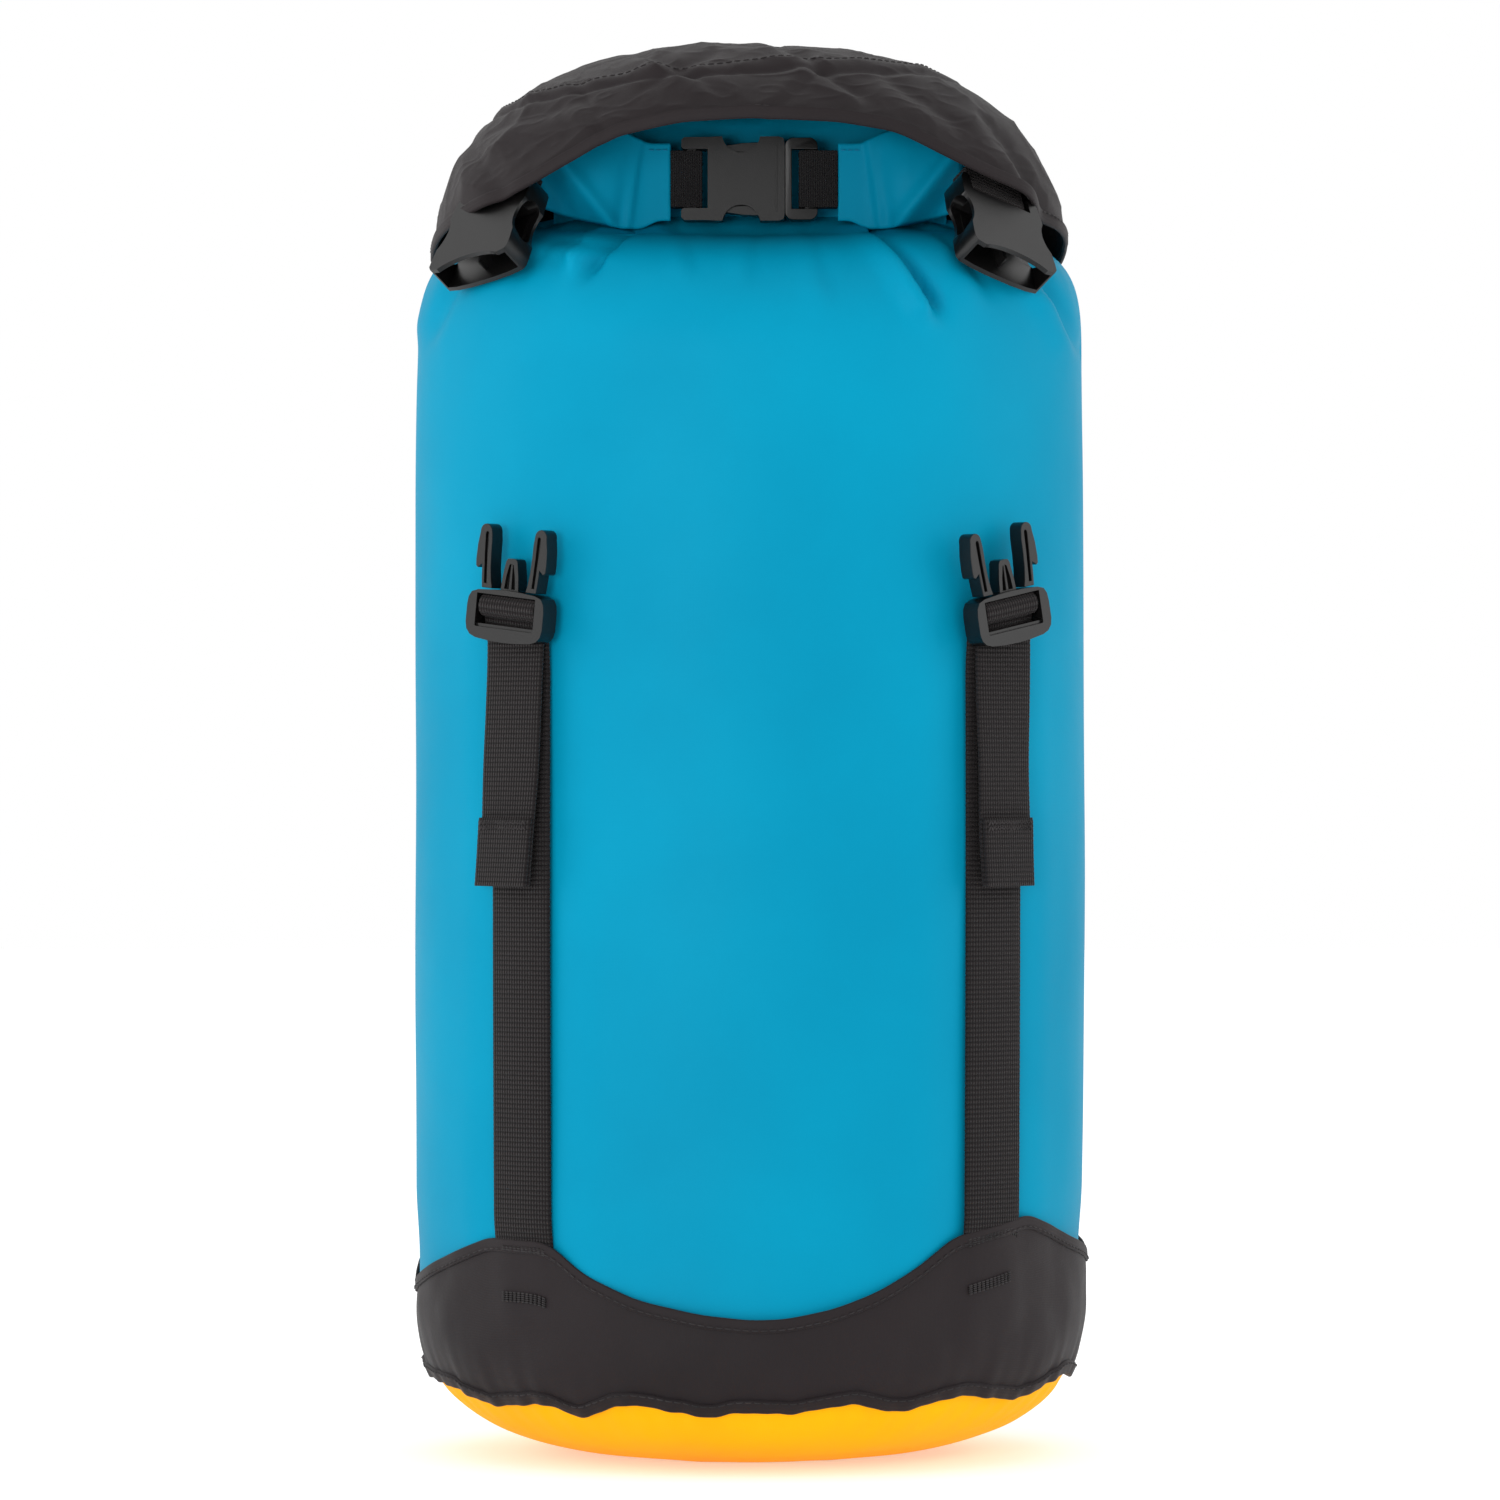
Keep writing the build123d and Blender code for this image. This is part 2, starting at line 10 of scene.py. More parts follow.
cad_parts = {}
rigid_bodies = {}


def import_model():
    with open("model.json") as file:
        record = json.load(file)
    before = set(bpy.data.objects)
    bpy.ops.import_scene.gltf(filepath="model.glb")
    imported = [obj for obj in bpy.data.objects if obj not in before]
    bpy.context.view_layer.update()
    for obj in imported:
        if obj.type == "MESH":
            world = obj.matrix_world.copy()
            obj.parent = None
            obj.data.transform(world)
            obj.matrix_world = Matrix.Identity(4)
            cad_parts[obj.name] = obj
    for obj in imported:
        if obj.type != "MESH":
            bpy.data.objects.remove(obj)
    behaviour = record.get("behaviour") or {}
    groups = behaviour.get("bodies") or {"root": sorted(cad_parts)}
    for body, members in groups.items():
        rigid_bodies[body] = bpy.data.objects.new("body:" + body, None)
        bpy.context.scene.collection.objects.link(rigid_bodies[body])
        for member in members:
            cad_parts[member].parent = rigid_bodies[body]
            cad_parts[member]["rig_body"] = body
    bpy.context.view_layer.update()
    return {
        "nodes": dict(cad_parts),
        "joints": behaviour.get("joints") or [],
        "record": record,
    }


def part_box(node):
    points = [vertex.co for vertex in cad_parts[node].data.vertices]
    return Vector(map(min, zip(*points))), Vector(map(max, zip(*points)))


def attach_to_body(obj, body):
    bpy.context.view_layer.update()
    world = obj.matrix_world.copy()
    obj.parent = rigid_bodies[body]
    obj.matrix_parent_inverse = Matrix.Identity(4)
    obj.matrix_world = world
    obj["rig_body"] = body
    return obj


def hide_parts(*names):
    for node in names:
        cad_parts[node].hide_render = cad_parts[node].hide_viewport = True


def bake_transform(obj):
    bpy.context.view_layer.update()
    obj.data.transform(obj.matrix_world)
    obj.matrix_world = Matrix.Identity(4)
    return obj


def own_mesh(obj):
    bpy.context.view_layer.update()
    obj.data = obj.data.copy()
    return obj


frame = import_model()

MM = 0.001
TURN = 2 * math.pi


def box_mm(node):
    """A CAD node's lowest and highest corners, in millimetres."""
    low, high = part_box(node)
    return np.array(low) / MM, np.array(high) / MM


# ---- sizes taken from the frame, in millimetres ----
tube_low, tube_high = box_mm("body_fabric_lower")
WALL_HALF = (tube_high[0] - tube_low[0]) / 2 - 0.4
DEPTH_RATIO = (tube_high[1] - tube_low[1]) / (tube_high[0] - tube_low[0])
BARREL = 0.9
BASE_ROUND = 62.0
SHOULDER = 385.0
CROWN = 439.0
SHOULDER_TOP = box_mm("shoulder")[1][2]
LID_TOP = box_mm("lid_top_panel")[1][2]
LID_BASE = 420.0
LID_HALF = 112.5


# ---- materials ----


def srgb(red, green, blue):
    """Scene colour of an 8-bit display colour."""
    def channel(value):
        value /= 255
        return value / 12.92 if value <= 0.04045 else ((value + 0.055) / 1.055) ** 2.4
    return (channel(red), channel(green), channel(blue), 1.0)


class Look:
    """Builds one procedural material from noise, weave and bump."""

    def __init__(self, name, roughness, specular=0.5):
        self.material = bpy.data.materials.new(name)
        self.material.use_nodes = True
        self.nodes = self.material.node_tree.nodes
        self.links = self.material.node_tree.links
        self.shader = self.nodes["Principled BSDF"]
        self.shader.inputs["Roughness"].default_value = roughness
        self.shader.inputs["Specular IOR Level"].default_value = specular

    def node(self, kind, **values):
        made = self.nodes.new(kind)
        for key, value in values.items():
            if hasattr(made, key):
                setattr(made, key, value)
            else:
                made.inputs[key.replace("_", " ")].default_value = value
        return made

    def coordinate(self, output):
        """Object coordinates in metres, or UV, whose unit is one millimetre of cloth."""
        return self.node("ShaderNodeTexCoord").outputs[output]

    def noise_map(self, scale, detail=3.0):
        texture = self.node("ShaderNodeTexNoise", Scale=scale, Detail=detail)
        self.links.new(self.coordinate("Object"), texture.inputs["Vector"])
        return texture.outputs["Fac"]

    def stripes(self, pitch, direction):
        """Bands across the cloth's U or V, one every pitch millimetres."""
        wave = self.node("ShaderNodeTexWave", wave_type="BANDS", bands_direction=direction,
                         wave_profile="SIN", Scale=TURN / 20 / pitch, Distortion=0.0)
        self.links.new(self.coordinate("UV"), wave.inputs["Vector"])
        return wave.outputs["Fac"]

    def math(self, operation, first, second):
        made = self.node("ShaderNodeMath", operation=operation)
        for socket, value in zip(made.inputs, (first, second)):
            if isinstance(value, (int, float)):
                socket.default_value = value
            else:
                self.links.new(value, socket)
        return made.outputs[0]

    def ramp(self, factor, stops):
        made = self.node("ShaderNodeValToRGB")
        elements = made.color_ramp.elements
        while len(elements) < len(stops):
            elements.new(0.5)
        for element, (place, colour) in zip(elements, stops):
            element.position = place
            element.color = colour
        self.links.new(factor, made.inputs["Fac"])
        return made.outputs["Color"]

    def colour(self, output):
        self.links.new(output, self.shader.inputs["Base Color"])

    def roughen(self, factor, low, high):
        made = self.node("ShaderNodeMapRange")
        made.inputs["To Min"].default_value = low
        made.inputs["To Max"].default_value = high
        self.links.new(factor, made.inputs["Value"])
        self.links.new(made.outputs["Result"], self.shader.inputs["Roughness"])

    def bump(self, *layers):
        """Stacks (height, strength, distance in metres) layers of bump."""
        normal = None
        for height, strength, distance in layers:
            made = self.node("ShaderNodeBump", Strength=strength, Distance=distance)
            self.links.new(height, made.inputs["Height"])
            if normal:
                self.links.new(normal, made.inputs["Normal"])
            normal = made.outputs["Normal"]
        self.links.new(normal, self.shader.inputs["Normal"])


def coated_cloth(name, dark, light, roughness, weave_pitch, weave_strength, sheen, wrinkle, shine):
    """Plain-woven nylon with a soft coating."""
    look = Look(name, roughness, shine)
    patches = look.noise_map(9.0, 4.0)
    look.colour(look.ramp(patches, [(0.3, dark), (0.7, light)]))
    weave = look.math("MULTIPLY", look.stripes(weave_pitch, "X"), look.stripes(weave_pitch, "Y"))
    crinkle = look.noise_map(55.0, 5.0)
    look.bump((crinkle, wrinkle, 0.0012), (weave, weave_strength, 0.0001))
    look.roughen(look.noise_map(30.0, 3.0), roughness - 0.06, roughness + 0.08)
    look.shader.inputs["Sheen Weight"].default_value = sheen
    look.shader.inputs["Sheen Roughness"].default_value = 0.45
    return look.material


def ribbed_webbing(name, dark, light, rib):
    """Ribbed nylon webbing: ribs across its length, and fine yarns along it; its colour is darker in their
    valleys, painted shade.
    """
    look = Look(name, 0.75, 0.18)
    ribs = look.stripes(rib, "Y")
    yarns = look.math("MULTIPLY", look.stripes(1.15, "X"), look.math("ADD", ribs, 0.25))
    relief = look.math("ADD", ribs, look.math("MULTIPLY", yarns, 0.7))
    fuzz = look.noise_map(2300.0, 2.0)
    # Colour darker in the rib and yarn valleys is painted shade that follows the relief; the fuzz adds
    # random tone.
    valley_shade_and_fuzz = look.math("ADD", look.math("MULTIPLY", relief, 0.4), look.math("MULTIPLY", fuzz, 0.5))
    look.colour(look.ramp(valley_shade_and_fuzz, [(0.2, dark), (0.9, light)]))
    look.bump((relief, 1.0, 0.0007), (fuzz, 0.4, 0.0002))
    look.shader.inputs["Sheen Weight"].default_value = 0.05
    return look.material


def moulded_plastic(name, dark, light, roughness):
    """Satin acetal with a fine spark-eroded grain."""
    look = Look(name, roughness, 0.32)
    grain = look.noise_map(2400.0, 3.0)
    patches = look.noise_map(70.0, 3.0)
    look.colour(look.ramp(patches, [(0.3, dark), (0.75, light)]))
    look.bump((grain, 0.22, 0.0002))
    look.roughen(patches, roughness - 0.05, roughness + 0.08)
    return look.material


RIB_PITCH = 1.65  # from one rib of the strap webbing to the next
BLUE = coated_cloth("blue_coated_nylon", srgb(0, 127, 160), srgb(0, 137, 170), roughness=0.5,
                    weave_pitch=0.5, weave_strength=0.15, sheen=0.0, wrinkle=0.05, shine=0.04)
YELLOW = coated_cloth("yellow_nylon", srgb(252, 166, 0), srgb(255, 180, 0), roughness=0.6,
                      weave_pitch=0.6, weave_strength=0.4, sheen=0.0, wrinkle=0.25, shine=0.08)
BLACK = coated_cloth("black_nylon", srgb(21, 15, 17), srgb(29, 22, 24), roughness=0.62,
                     weave_pitch=0.5, weave_strength=0.4, sheen=0.04, wrinkle=0.35, shine=0.2)
WEBBING = ribbed_webbing("black_webbing", srgb(6, 3, 4), srgb(36, 30, 31), RIB_PITCH)
SMOOTH_WEBBING = ribbed_webbing("smooth_webbing", srgb(24, 21, 22), srgb(34, 30, 31), 0.8)
PLASTIC = moulded_plastic("buckle_acetal", srgb(7, 7, 7), srgb(13, 12, 12), 0.3)
BLUE_THREAD = moulded_plastic("blue_thread", srgb(0, 118, 158), srgb(4, 134, 174), 0.6)
THREAD = moulded_plastic("black_thread", srgb(22, 20, 21), srgb(50, 46, 47), 0.7)


# ---- mesh helpers ----


def finish_mesh(name, mesh, material):
    """A scene object for a mesh whose vertices are in millimetres."""
    mesh.transform(Matrix.Scale(MM, 4))
    mesh.shade_smooth()
    mesh.update()
    made = bpy.data.objects.new(name, mesh)
    bpy.context.scene.collection.objects.link(made)
    made.data.materials.append(material)
    return made


def grid_piece(name, points, cloth, material, closed=False, caps=()):
    """A surface from a (rows, columns, 3) grid; cloth holds each point's place in the cloth in mm."""
    rows, columns = points.shape[:2]
    across = columns if closed else columns - 1
    faces, corners = [], []
    for row in range(rows - 1):
        for column in range(across):
            beside = (column + 1) % columns
            faces.append((row * columns + column, row * columns + beside,
                          (row + 1) * columns + beside, (row + 1) * columns + column))
            corners += [cloth[row, column], cloth[row, column + 1],
                        cloth[row + 1, column + 1], cloth[row + 1, column]]
    vertices = [tuple(point) for point in points.reshape(-1, 3)]
    for cap in caps:
        row = 0 if cap == "low" else rows - 1
        ring = [row * columns + column for column in range(columns)]
        faces.append(tuple(reversed(ring)) if cap == "low" else tuple(ring))
        corners += [cloth[row, column] for column in range(columns)][::-1 if cap == "low" else 1]
    mesh = bpy.data.meshes.new(name)
    mesh.from_pydata(vertices, [], faces)
    layer = mesh.uv_layers.new(name="cloth_mm")
    flat = np.array(corners, dtype=float).reshape(-1)
    layer.data.foreach_set("uv", flat)
    return finish_mesh(name, mesh, material)


def thicken(piece, thickness):
    """Gives a cloth surface its thickness, growing inwards."""
    made = piece.modifiers.new("thickness", "SOLIDIFY")
    made.thickness = thickness * MM
    made.offset = -1.0
    made.use_rim = True


def attach(pieces, body, node=None):
    """Puts pieces on a body, and lets them stand for a CAD node."""
    for piece in pieces:
        if node:
            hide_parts(node)
        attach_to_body(piece, body)


def ripple(x, y, z, size):
    """Smooth noise from -1 to 1 whose bumps are about size millimetres across."""
    return noise.noise(Vector((x / size, y / size, z / size)))


def ridge(x, y, z, size, sharp=2.0):
    """Creased noise from 0 to 1: narrow ridges between soft hollows."""
    return (1 - min(1.0, abs(ripple(x, y, z, size)) * 2.2)) ** sharp


def smooth_step(value, low, high):
    """0 up to low, 1 from high on, and a smooth rise between them."""
    share = min(1.0, max(0.0, (value - low) / (high - low)))
    return share * share * (3 - 2 * share)


def line_distance(x, z, ends):
    """Signed distance from a point to a line segment, and the share along it."""
    (ax, az), (bx, bz) = ends
    length = math.hypot(bx - ax, bz - az)
    along = ((x - ax) * (bx - ax) + (z - az) * (bz - az)) / length**2
    side = ((x - ax) * (bz - az) - (z - az) * (bx - ax)) / length
    beyond = max(0.0, -along, along - 1) * length
    return side, beyond


def crease(x, z, ends, depth, width):
    """A fold line: a narrow valley with a soft roll on one side of it."""
    side, beyond = line_distance(x, z, ends)
    fade = math.exp(-(beyond / (2.5 * width)) ** 2)
    valley = -depth * math.exp(-(side / width) ** 2)
    roll = 0.7 * depth * math.exp(-((side - 2.2 * width) / (1.6 * width)) ** 2)
    return fade * (valley + roll)


def around(table, angle):
    """Smooth value at an angle in degrees, from (angle, value) pairs that run from -180 to 180."""
    places = [place for place, _ in table]
    values = [value for _, value in table]
    total = 0.0
    for step in range(-3, 4):
        turned = (angle + step * 0.7 + 180) % 360 - 180
        total += float(np.interp(turned, places, values))
    return total / 7


# ---- the sack's own shape ----


def sack_half(height):
    """Half width of the sack at a height, a barrel with rounded ends."""
    if height < BASE_ROUND:
        share = 1 - (height + 1.5) / (BASE_ROUND + 1.5)
        return WALL_HALF * (1 - share**3) ** (1 / 3)
    if height < SHOULDER:
        return WALL_HALF + BARREL * math.sin(math.pi * (height - BASE_ROUND) / (SHOULDER - BASE_ROUND))
    return shoulder_half(height, 0.0)


def shoulder_half(height, front):
    """Half width above the shoulder; front is 1 at the front, where it rounds in sooner."""
    power = 4.2 - 1.95 * front**2
    share = min(0.985, (height - SHOULDER) / (CROWN - SHOULDER))
    return WALL_HALF * (1 - share**power) ** (1 / power)


STRAPS = {(place, side): sum(box_mm(f"strap_{place}_{side}")) / 2
          for side in ("left", "right") for place in ("front", "rear")}

CREASES = [
    (((-39, 446), (-54, 419)), 8.0, 2.4),
    (((38, 446), (62, 407)), 8.5, 2.6),
    (((-24, 440), (-20, 420)), 1.6, 2.2),
    (((3, 440), (1, 418)), 1.4, 2.4),
    (((-60, 440), (-76, 420)), 1.8, 3.0),
    (((64, 438), (80, 414)), 2.0, 3.0),
    (((21, 440), (27, 412)), 1.4, 2.8),
    (((-74, 430), (-52, 426)), 2.4, 2.0),
    (((98, 424), (113, 398)), 3.4, 2.8),
    (((88, 426), (104, 410)), 2.8, 2.4),
    (((-100, 420), (-110, 400)), 2.0, 2.6),
]


def sack_relief(x, y, z):
    """How far the stuffed fabric stands out from its plain shape."""
    relief = 1.0 * ripple(x, y, z * 0.6, 85) + 0.35 * ripple(x, y, z * 0.5, 34)
    top = smooth_step(z, 330, 425)
    relief += top * (1.1 * ripple(x, y, z * 0.25, 30) + 0.5 * ripple(x, y, z * 0.4, 14))
    relief -= 1.1 * smooth_step(z, 96, 70)
    for (place, _), middle in STRAPS.items():
        if (middle[1] < 0) == (y < 0) and abs(x - middle[0]) < 45:
            away = math.hypot(x - middle[0], y - middle[1])
            reach = 1 - smooth_step(z, 300, 330) if place == "front" else 1 - smooth_step(z, 385, 410)
            relief += reach * (-1.1 * math.exp(-(away / 13) ** 2) + 0.7 * math.exp(-((away - 27) / 9) ** 2))
    if y < 0:
        for ends, depth, width in CREASES:
            relief += crease(x, z, ends, depth, width)
    return relief


def sack_point(angle, z):
    """A point of the sack's skin; angle 0 is +X and -90 degrees the front."""
    half = sack_half(z) if z < SHOULDER else shoulder_half(z, max(0.0, -math.sin(angle)))
    x, y = half * math.cos(angle), half * DEPTH_RATIO * math.sin(angle)
    relief = sack_relief(x, y, z)
    normal = Vector((math.cos(angle) * DEPTH_RATIO, math.sin(angle))).normalized()
    return Vector((x + normal.x * relief, y + normal.y * relief, z))


def ring_uv(columns, girth, heights):
    """Cloth coordinates of a wrapped grid: girth along U, height along V."""
    across = np.linspace(0, girth, columns + 1)
    return np.array([[(u, v) for u in across] for v in heights])


GIRTH = math.pi * WALL_HALF * (1 + DEPTH_RATIO)
ROLL_Y = -14.0
ROLL_HALF = 66.0
DIP_HALF = 78.0
DIP_DEPTH = 7.5


def mouth_dip(point):
    """The skin sags in front of the roll, where the buckle and the folded ends rest."""
    if point.y > ROLL_Y:
        return point
    near = math.exp(-((point.x / DIP_HALF) ** 4)) * smooth_step(-point.y, -ROLL_Y, 12 - ROLL_Y)
    high = smooth_step(point.z, 418, 446)
    return Vector((point.x, point.y, point.z - DIP_DEPTH * near * high))


def make_skin():
    """The blue skin from under the base band up over the shoulder to the rolled mouth."""
    columns = 400
    heights = list(np.linspace(48, SHOULDER, 96)) + list(np.linspace(SHOULDER + 1.2, SHOULDER_TOP, 34))
    rows = []
    for z in heights:
        rows.append([mouth_dip(sack_point(TURN * c / columns, z)) for c in range(columns)])
    rim = rows[-1]
    gathered = 16
    for step in range(1, gathered + 1):
        share = step / gathered
        row = []
        for c in range(columns):
            angle = TURN * c / columns
            inner = Vector((ROLL_HALF * math.cos(angle), ROLL_Y + 5 * math.sin(angle), SHOULDER_TOP + 3.5))
            edge = rim[c]
            blend = edge.lerp(inner, share)
            pleat = math.sin(angle * 23 + 1.4 * ripple(blend.x, blend.y, 3, 22)) * (1 - share) * share * 3.2
            dome = 1.6 * math.sin(share * math.pi / 2)
            blend.z = edge.z + (inner.z - edge.z) * share**1.6 + (dome * (1 - share) + pleat) * 0.6
            row.append(blend)
        rows.append(row)
        heights.append(SHOULDER_TOP + step * 4)
    grid = np.array([[tuple(point) for point in row] for row in rows])
    skin = grid_piece("sack_skin", grid, ring_uv(columns, GIRTH, heights), BLUE, closed=True, caps=("high",))
    thicken(skin, 0.8)
    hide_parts("body_fabric_lower", "body_fabric_upper", "shoulder")
    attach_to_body(skin, "base")
    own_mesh(skin)
    return skin


def joint(name):
    """The frame's joint of that name."""
    return next(found for found in frame["joints"] if found["name"] == name)


def weld(piece):
    """Joins doubled points, such as those where a swept loop meets itself."""
    made = bmesh.new()
    made.from_mesh(piece.data)
    bmesh.ops.remove_doubles(made, verts=made.verts, dist=0.0005 * MM)
    made.to_mesh(piece.data)
    made.free()
    piece.data.shade_smooth()
    return piece


def sweep_ring(name, path, ups, outs, profile, material):
    """Sweeps a closed profile of (up, out) offsets round a closed path."""
    loop = profile + [profile[0]]
    rows = [[tuple(p + u * up + o * out) for p, u, o in zip(path, ups, outs)] for up, out in loop]
    lengths = np.cumsum([0.0] + [(path[(i + 1) % len(path)] - path[i]).length for i in range(len(path))])
    cloth = np.array([[(length, 1.2 * k) for length in lengths] for k in range(len(loop))])
    return weld(grid_piece(name, np.array(rows), cloth, material, closed=True))


def stitch_row(name, path, outs, stitch=2.3, gap=0.8, radius=0.24, closed=True):
    """A row of thread stitches lying along a path."""
    points = list(path) + ([path[0]] if closed else [])
    normals = list(outs) + ([outs[0]] if closed else [])
    lengths = np.cumsum([0.0] + [(b - a).length for a, b in zip(points, points[1:])])
    xyz = np.array([tuple(p) for p in points])
    out = np.array([tuple(n) for n in normals])

    def at(length):
        place = Vector([float(np.interp(length, lengths, xyz[:, k])) for k in range(3)])
        normal = Vector([float(np.interp(length, lengths, out[:, k])) for k in range(3)])
        return place, normal.normalized()

    made = bmesh.new()
    count = int(lengths[-1] / (stitch + gap))
    for index in range(count):
        start, _ = at(index * (stitch + gap))
        end, normal = at(index * (stitch + gap) + stitch)
        along = (end - start).normalized()
        side = along.cross(normal).normalized()
        rings = []
        for share, size, sink in ((0.0, 0.5, -0.7), (0.2, 1.0, 0.2), (0.8, 1.0, 0.2), (1.0, 0.5, -0.7)):
            middle = start.lerp(end, share) + normal * radius * sink
            ring = [made.verts.new(middle + (side * math.cos(a) + normal * math.sin(a)) * radius * size)
                    for a in (0, 1.257, 2.513, 3.77, 5.027)]
            rings.append(ring)
        for low, high in zip(rings, rings[1:]):
            for k in range(5):
                made.faces.new((low[k], low[(k + 1) % 5], high[(k + 1) % 5], high[k]))
        made.faces.new(rings[0][::-1])
        made.faces.new(rings[-1])
    bmesh.ops.recalc_face_normals(made, faces=made.faces)
    mesh = bpy.data.meshes.new(name)
    made.to_mesh(mesh)
    made.free()
    return finish_mesh(name, mesh, THREAD)


def webbing(name, spine, acrosses, outs, width, thick=1.4, curl=0.0, drift=0.0):
    """Flat ribbed webbing along a spine, with rounded edges; curl bends its edges back."""
    lengths = np.cumsum([0.0] + [(b - a).length for a, b in zip(spine, spine[1:])])
    rows = max(8, int(lengths[-1] / (RIB_PITCH / 4)))
    stations = np.linspace(0, lengths[-1], rows)
    tracks = [np.array([tuple(v) for v in values]) for values in (spine, acrosses, outs)]
    half = width / 2 - thick / 2
    upper = [(w, thick / 2) for w in np.linspace(-half, half, 11)]
    side = [(half + thick / 2 * math.sin(a), thick / 2 * math.cos(a)) for a in (0.8, 1.57, 2.35)]
    loop = upper + side + [(-w, -h) for w, h in upper] + [(-w, -h) for w, h in side]
    around_loop = np.cumsum([0.0] + [math.dist(a, b) for a, b in zip(loop, loop[1:] + loop[:1])])
    grid, cloth = [], []
    for station in stations:
        place, across, out = [Vector([float(np.interp(station, lengths, track[:, k])) for k in range(3)])
                              for track in tracks]
        across.normalize()
        out = (out - across * out.dot(across)).normalized()
        relief = 0.13 * math.sin(math.pi * station / RIB_PITCH) ** 2
        sway = 0.25 * ripple(station, width, 0, 30) * drift
        row = []
        for w, h in loop:
            back = curl * (w / (width / 2)) ** 2
            raised = h + (relief if h > 0 else -relief) - back + sway * w / 5
            row.append(tuple(place + across * w + out * raised))
        grid.append(row)
        cloth.append([(length, station) for length in around_loop])
    return grid_piece(name, np.array(grid), np.array(cloth), WEBBING, closed=True,
                      caps=("low", "high"))


# ---- yellow base and black band ----


def make_base():
    """The yellow cup: a puffed round base, pressed flat where it stands."""
    columns, rows, heights = 360, [], []
    flat = sack_half(0)
    for share in np.linspace(0.02, 1, 14):
        ring = []
        for c in range(columns):
            angle = TURN * c / columns
            x, y = share * flat * math.cos(angle), share * flat * DEPTH_RATIO * math.sin(angle)
            ring.append((x, y, 0.25 + 0.25 * ripple(x, y, 0, 12)))
        rows.append(ring)
        heights.append(share * flat - flat)
    for z in np.linspace(0.12, 1, 44) ** 1.5 * 52:
        ring = []
        for c in range(columns):
            angle = TURN * c / columns
            half = sack_half(z)
            x, y = half * math.cos(angle), half * DEPTH_RATIO * math.sin(angle)
            gather = 0.8 * math.sin(angle * 61 + 2 * ripple(x, y, 0, 40)) * smooth_step(z, 6, 22)
            relief = 1.3 * ripple(x, y, z, 42) + 0.9 * ripple(x, y, z * 0.5, 17) + 0.35 * gather
            relief *= smooth_step(z, 0, 12) * (1 - smooth_step(z, 22, 34))
            relief -= 0.5 * smooth_step(z, 20, 30)
            normal = Vector((math.cos(angle) * DEPTH_RATIO, math.sin(angle), 0)).normalized()
            ring.append((x + normal.x * relief, y + normal.y * relief, z - 0.1 * abs(relief)))
        rows.append(ring)
        heights.append(z * 1.3)
    cup = grid_piece("base_cup_cloth", np.array(rows), ring_uv(columns, GIRTH, heights), YELLOW,
                     closed=True, caps=("low",))
    thicken(cup, 0.8)
    attach([cup], "base", "base_cup")


SCALLOPS = [(-180, 60), (-163, 67), (-150, 74), (-139, 80.5), (-125.5, 80), (-119, 69.5), (-109, 61),
            (-98, 56.3), (-90, 54.6), (-84, 55), (-76, 58.3), (-69, 63.3), (-62, 70.5), (-53.6, 82),
            (-36.4, 88), (-20, 78.5), (0, 71), (20, 79), (37, 84), (53, 83), (60, 72), (74, 61), (90, 57.5),
            (106, 61), (120, 72), (127, 83), (143, 84), (160, 76), (180, 63)]
WAVES = [(-180, 29), (-165, 28), (-155.6, 27.4), (-143.6, 22.6), (-129, 25.3), (-122.7, 20.9),
         (-112.4, 26.7), (-97, 22.6), (-92, 24.4), (-82, 24), (-72, 27.4), (-63.4, 23.5), (-50.7, 28),
         (-34, 24.8), (-17, 31.5), (0, 28), (20, 27), (42, 25), (60, 28), (75, 23), (90, 26), (106, 23),
         (124, 27), (138, 24), (160, 28), (180, 31)]


def strap_bulge(x, y, z):
    """How far the band stands out where a strap runs under it."""
    total = 0.0
    for middle in STRAPS.values():
        if (middle[1] < 0) == (y < 0):
            away = math.hypot(x - middle[0], y - middle[1])
            total += 1.1 * math.exp(-((away / 14) ** 4)) * smooth_step(z, 44, 56)
    return total


def band_point(degrees, share, out):
    """A point on the band: share 0 is its lower hem, 1 its scalloped top edge."""
    low, high = around(WAVES, degrees), around(SCALLOPS, degrees)
    z = low + (high - low) * share
    angle = math.radians(degrees)
    half = sack_half(z)
    x, y = half * math.cos(angle), half * DEPTH_RATIO * math.sin(angle)
    pucker = math.sin(angle * 47 + 2.5 * ripple(x, y, 0, 30)) + 0.6 * math.sin(angle * 83 + 1.7)
    relief = out + 0.3 * pucker * (1 - share) ** 5 + 0.9 * ripple(x, y, z, 36) + 0.5 * ripple(x, y, z, 13)
    relief += 1.2 - 0.5 * smooth_step(share, 0.7, 1) + strap_bulge(x, y, z)
    slope = (sack_half(z + 1) - sack_half(z - 1)) / 2
    normal = Vector((math.cos(angle) * DEPTH_RATIO, math.sin(angle), -slope)).normalized()
    return Vector((x, y, z)) + normal * relief, normal


def band_line(share, out, columns, lift=0.0):
    """A line round the band at a share of its height, lift millimetres above that."""
    line = []
    for c in range(columns):
        degrees = 360 * c / columns - 180
        height = around(SCALLOPS, degrees) - around(WAVES, degrees)
        line.append(band_point(degrees, share + lift / height, out))
    return [p for p, _ in line], [n for _, n in line]


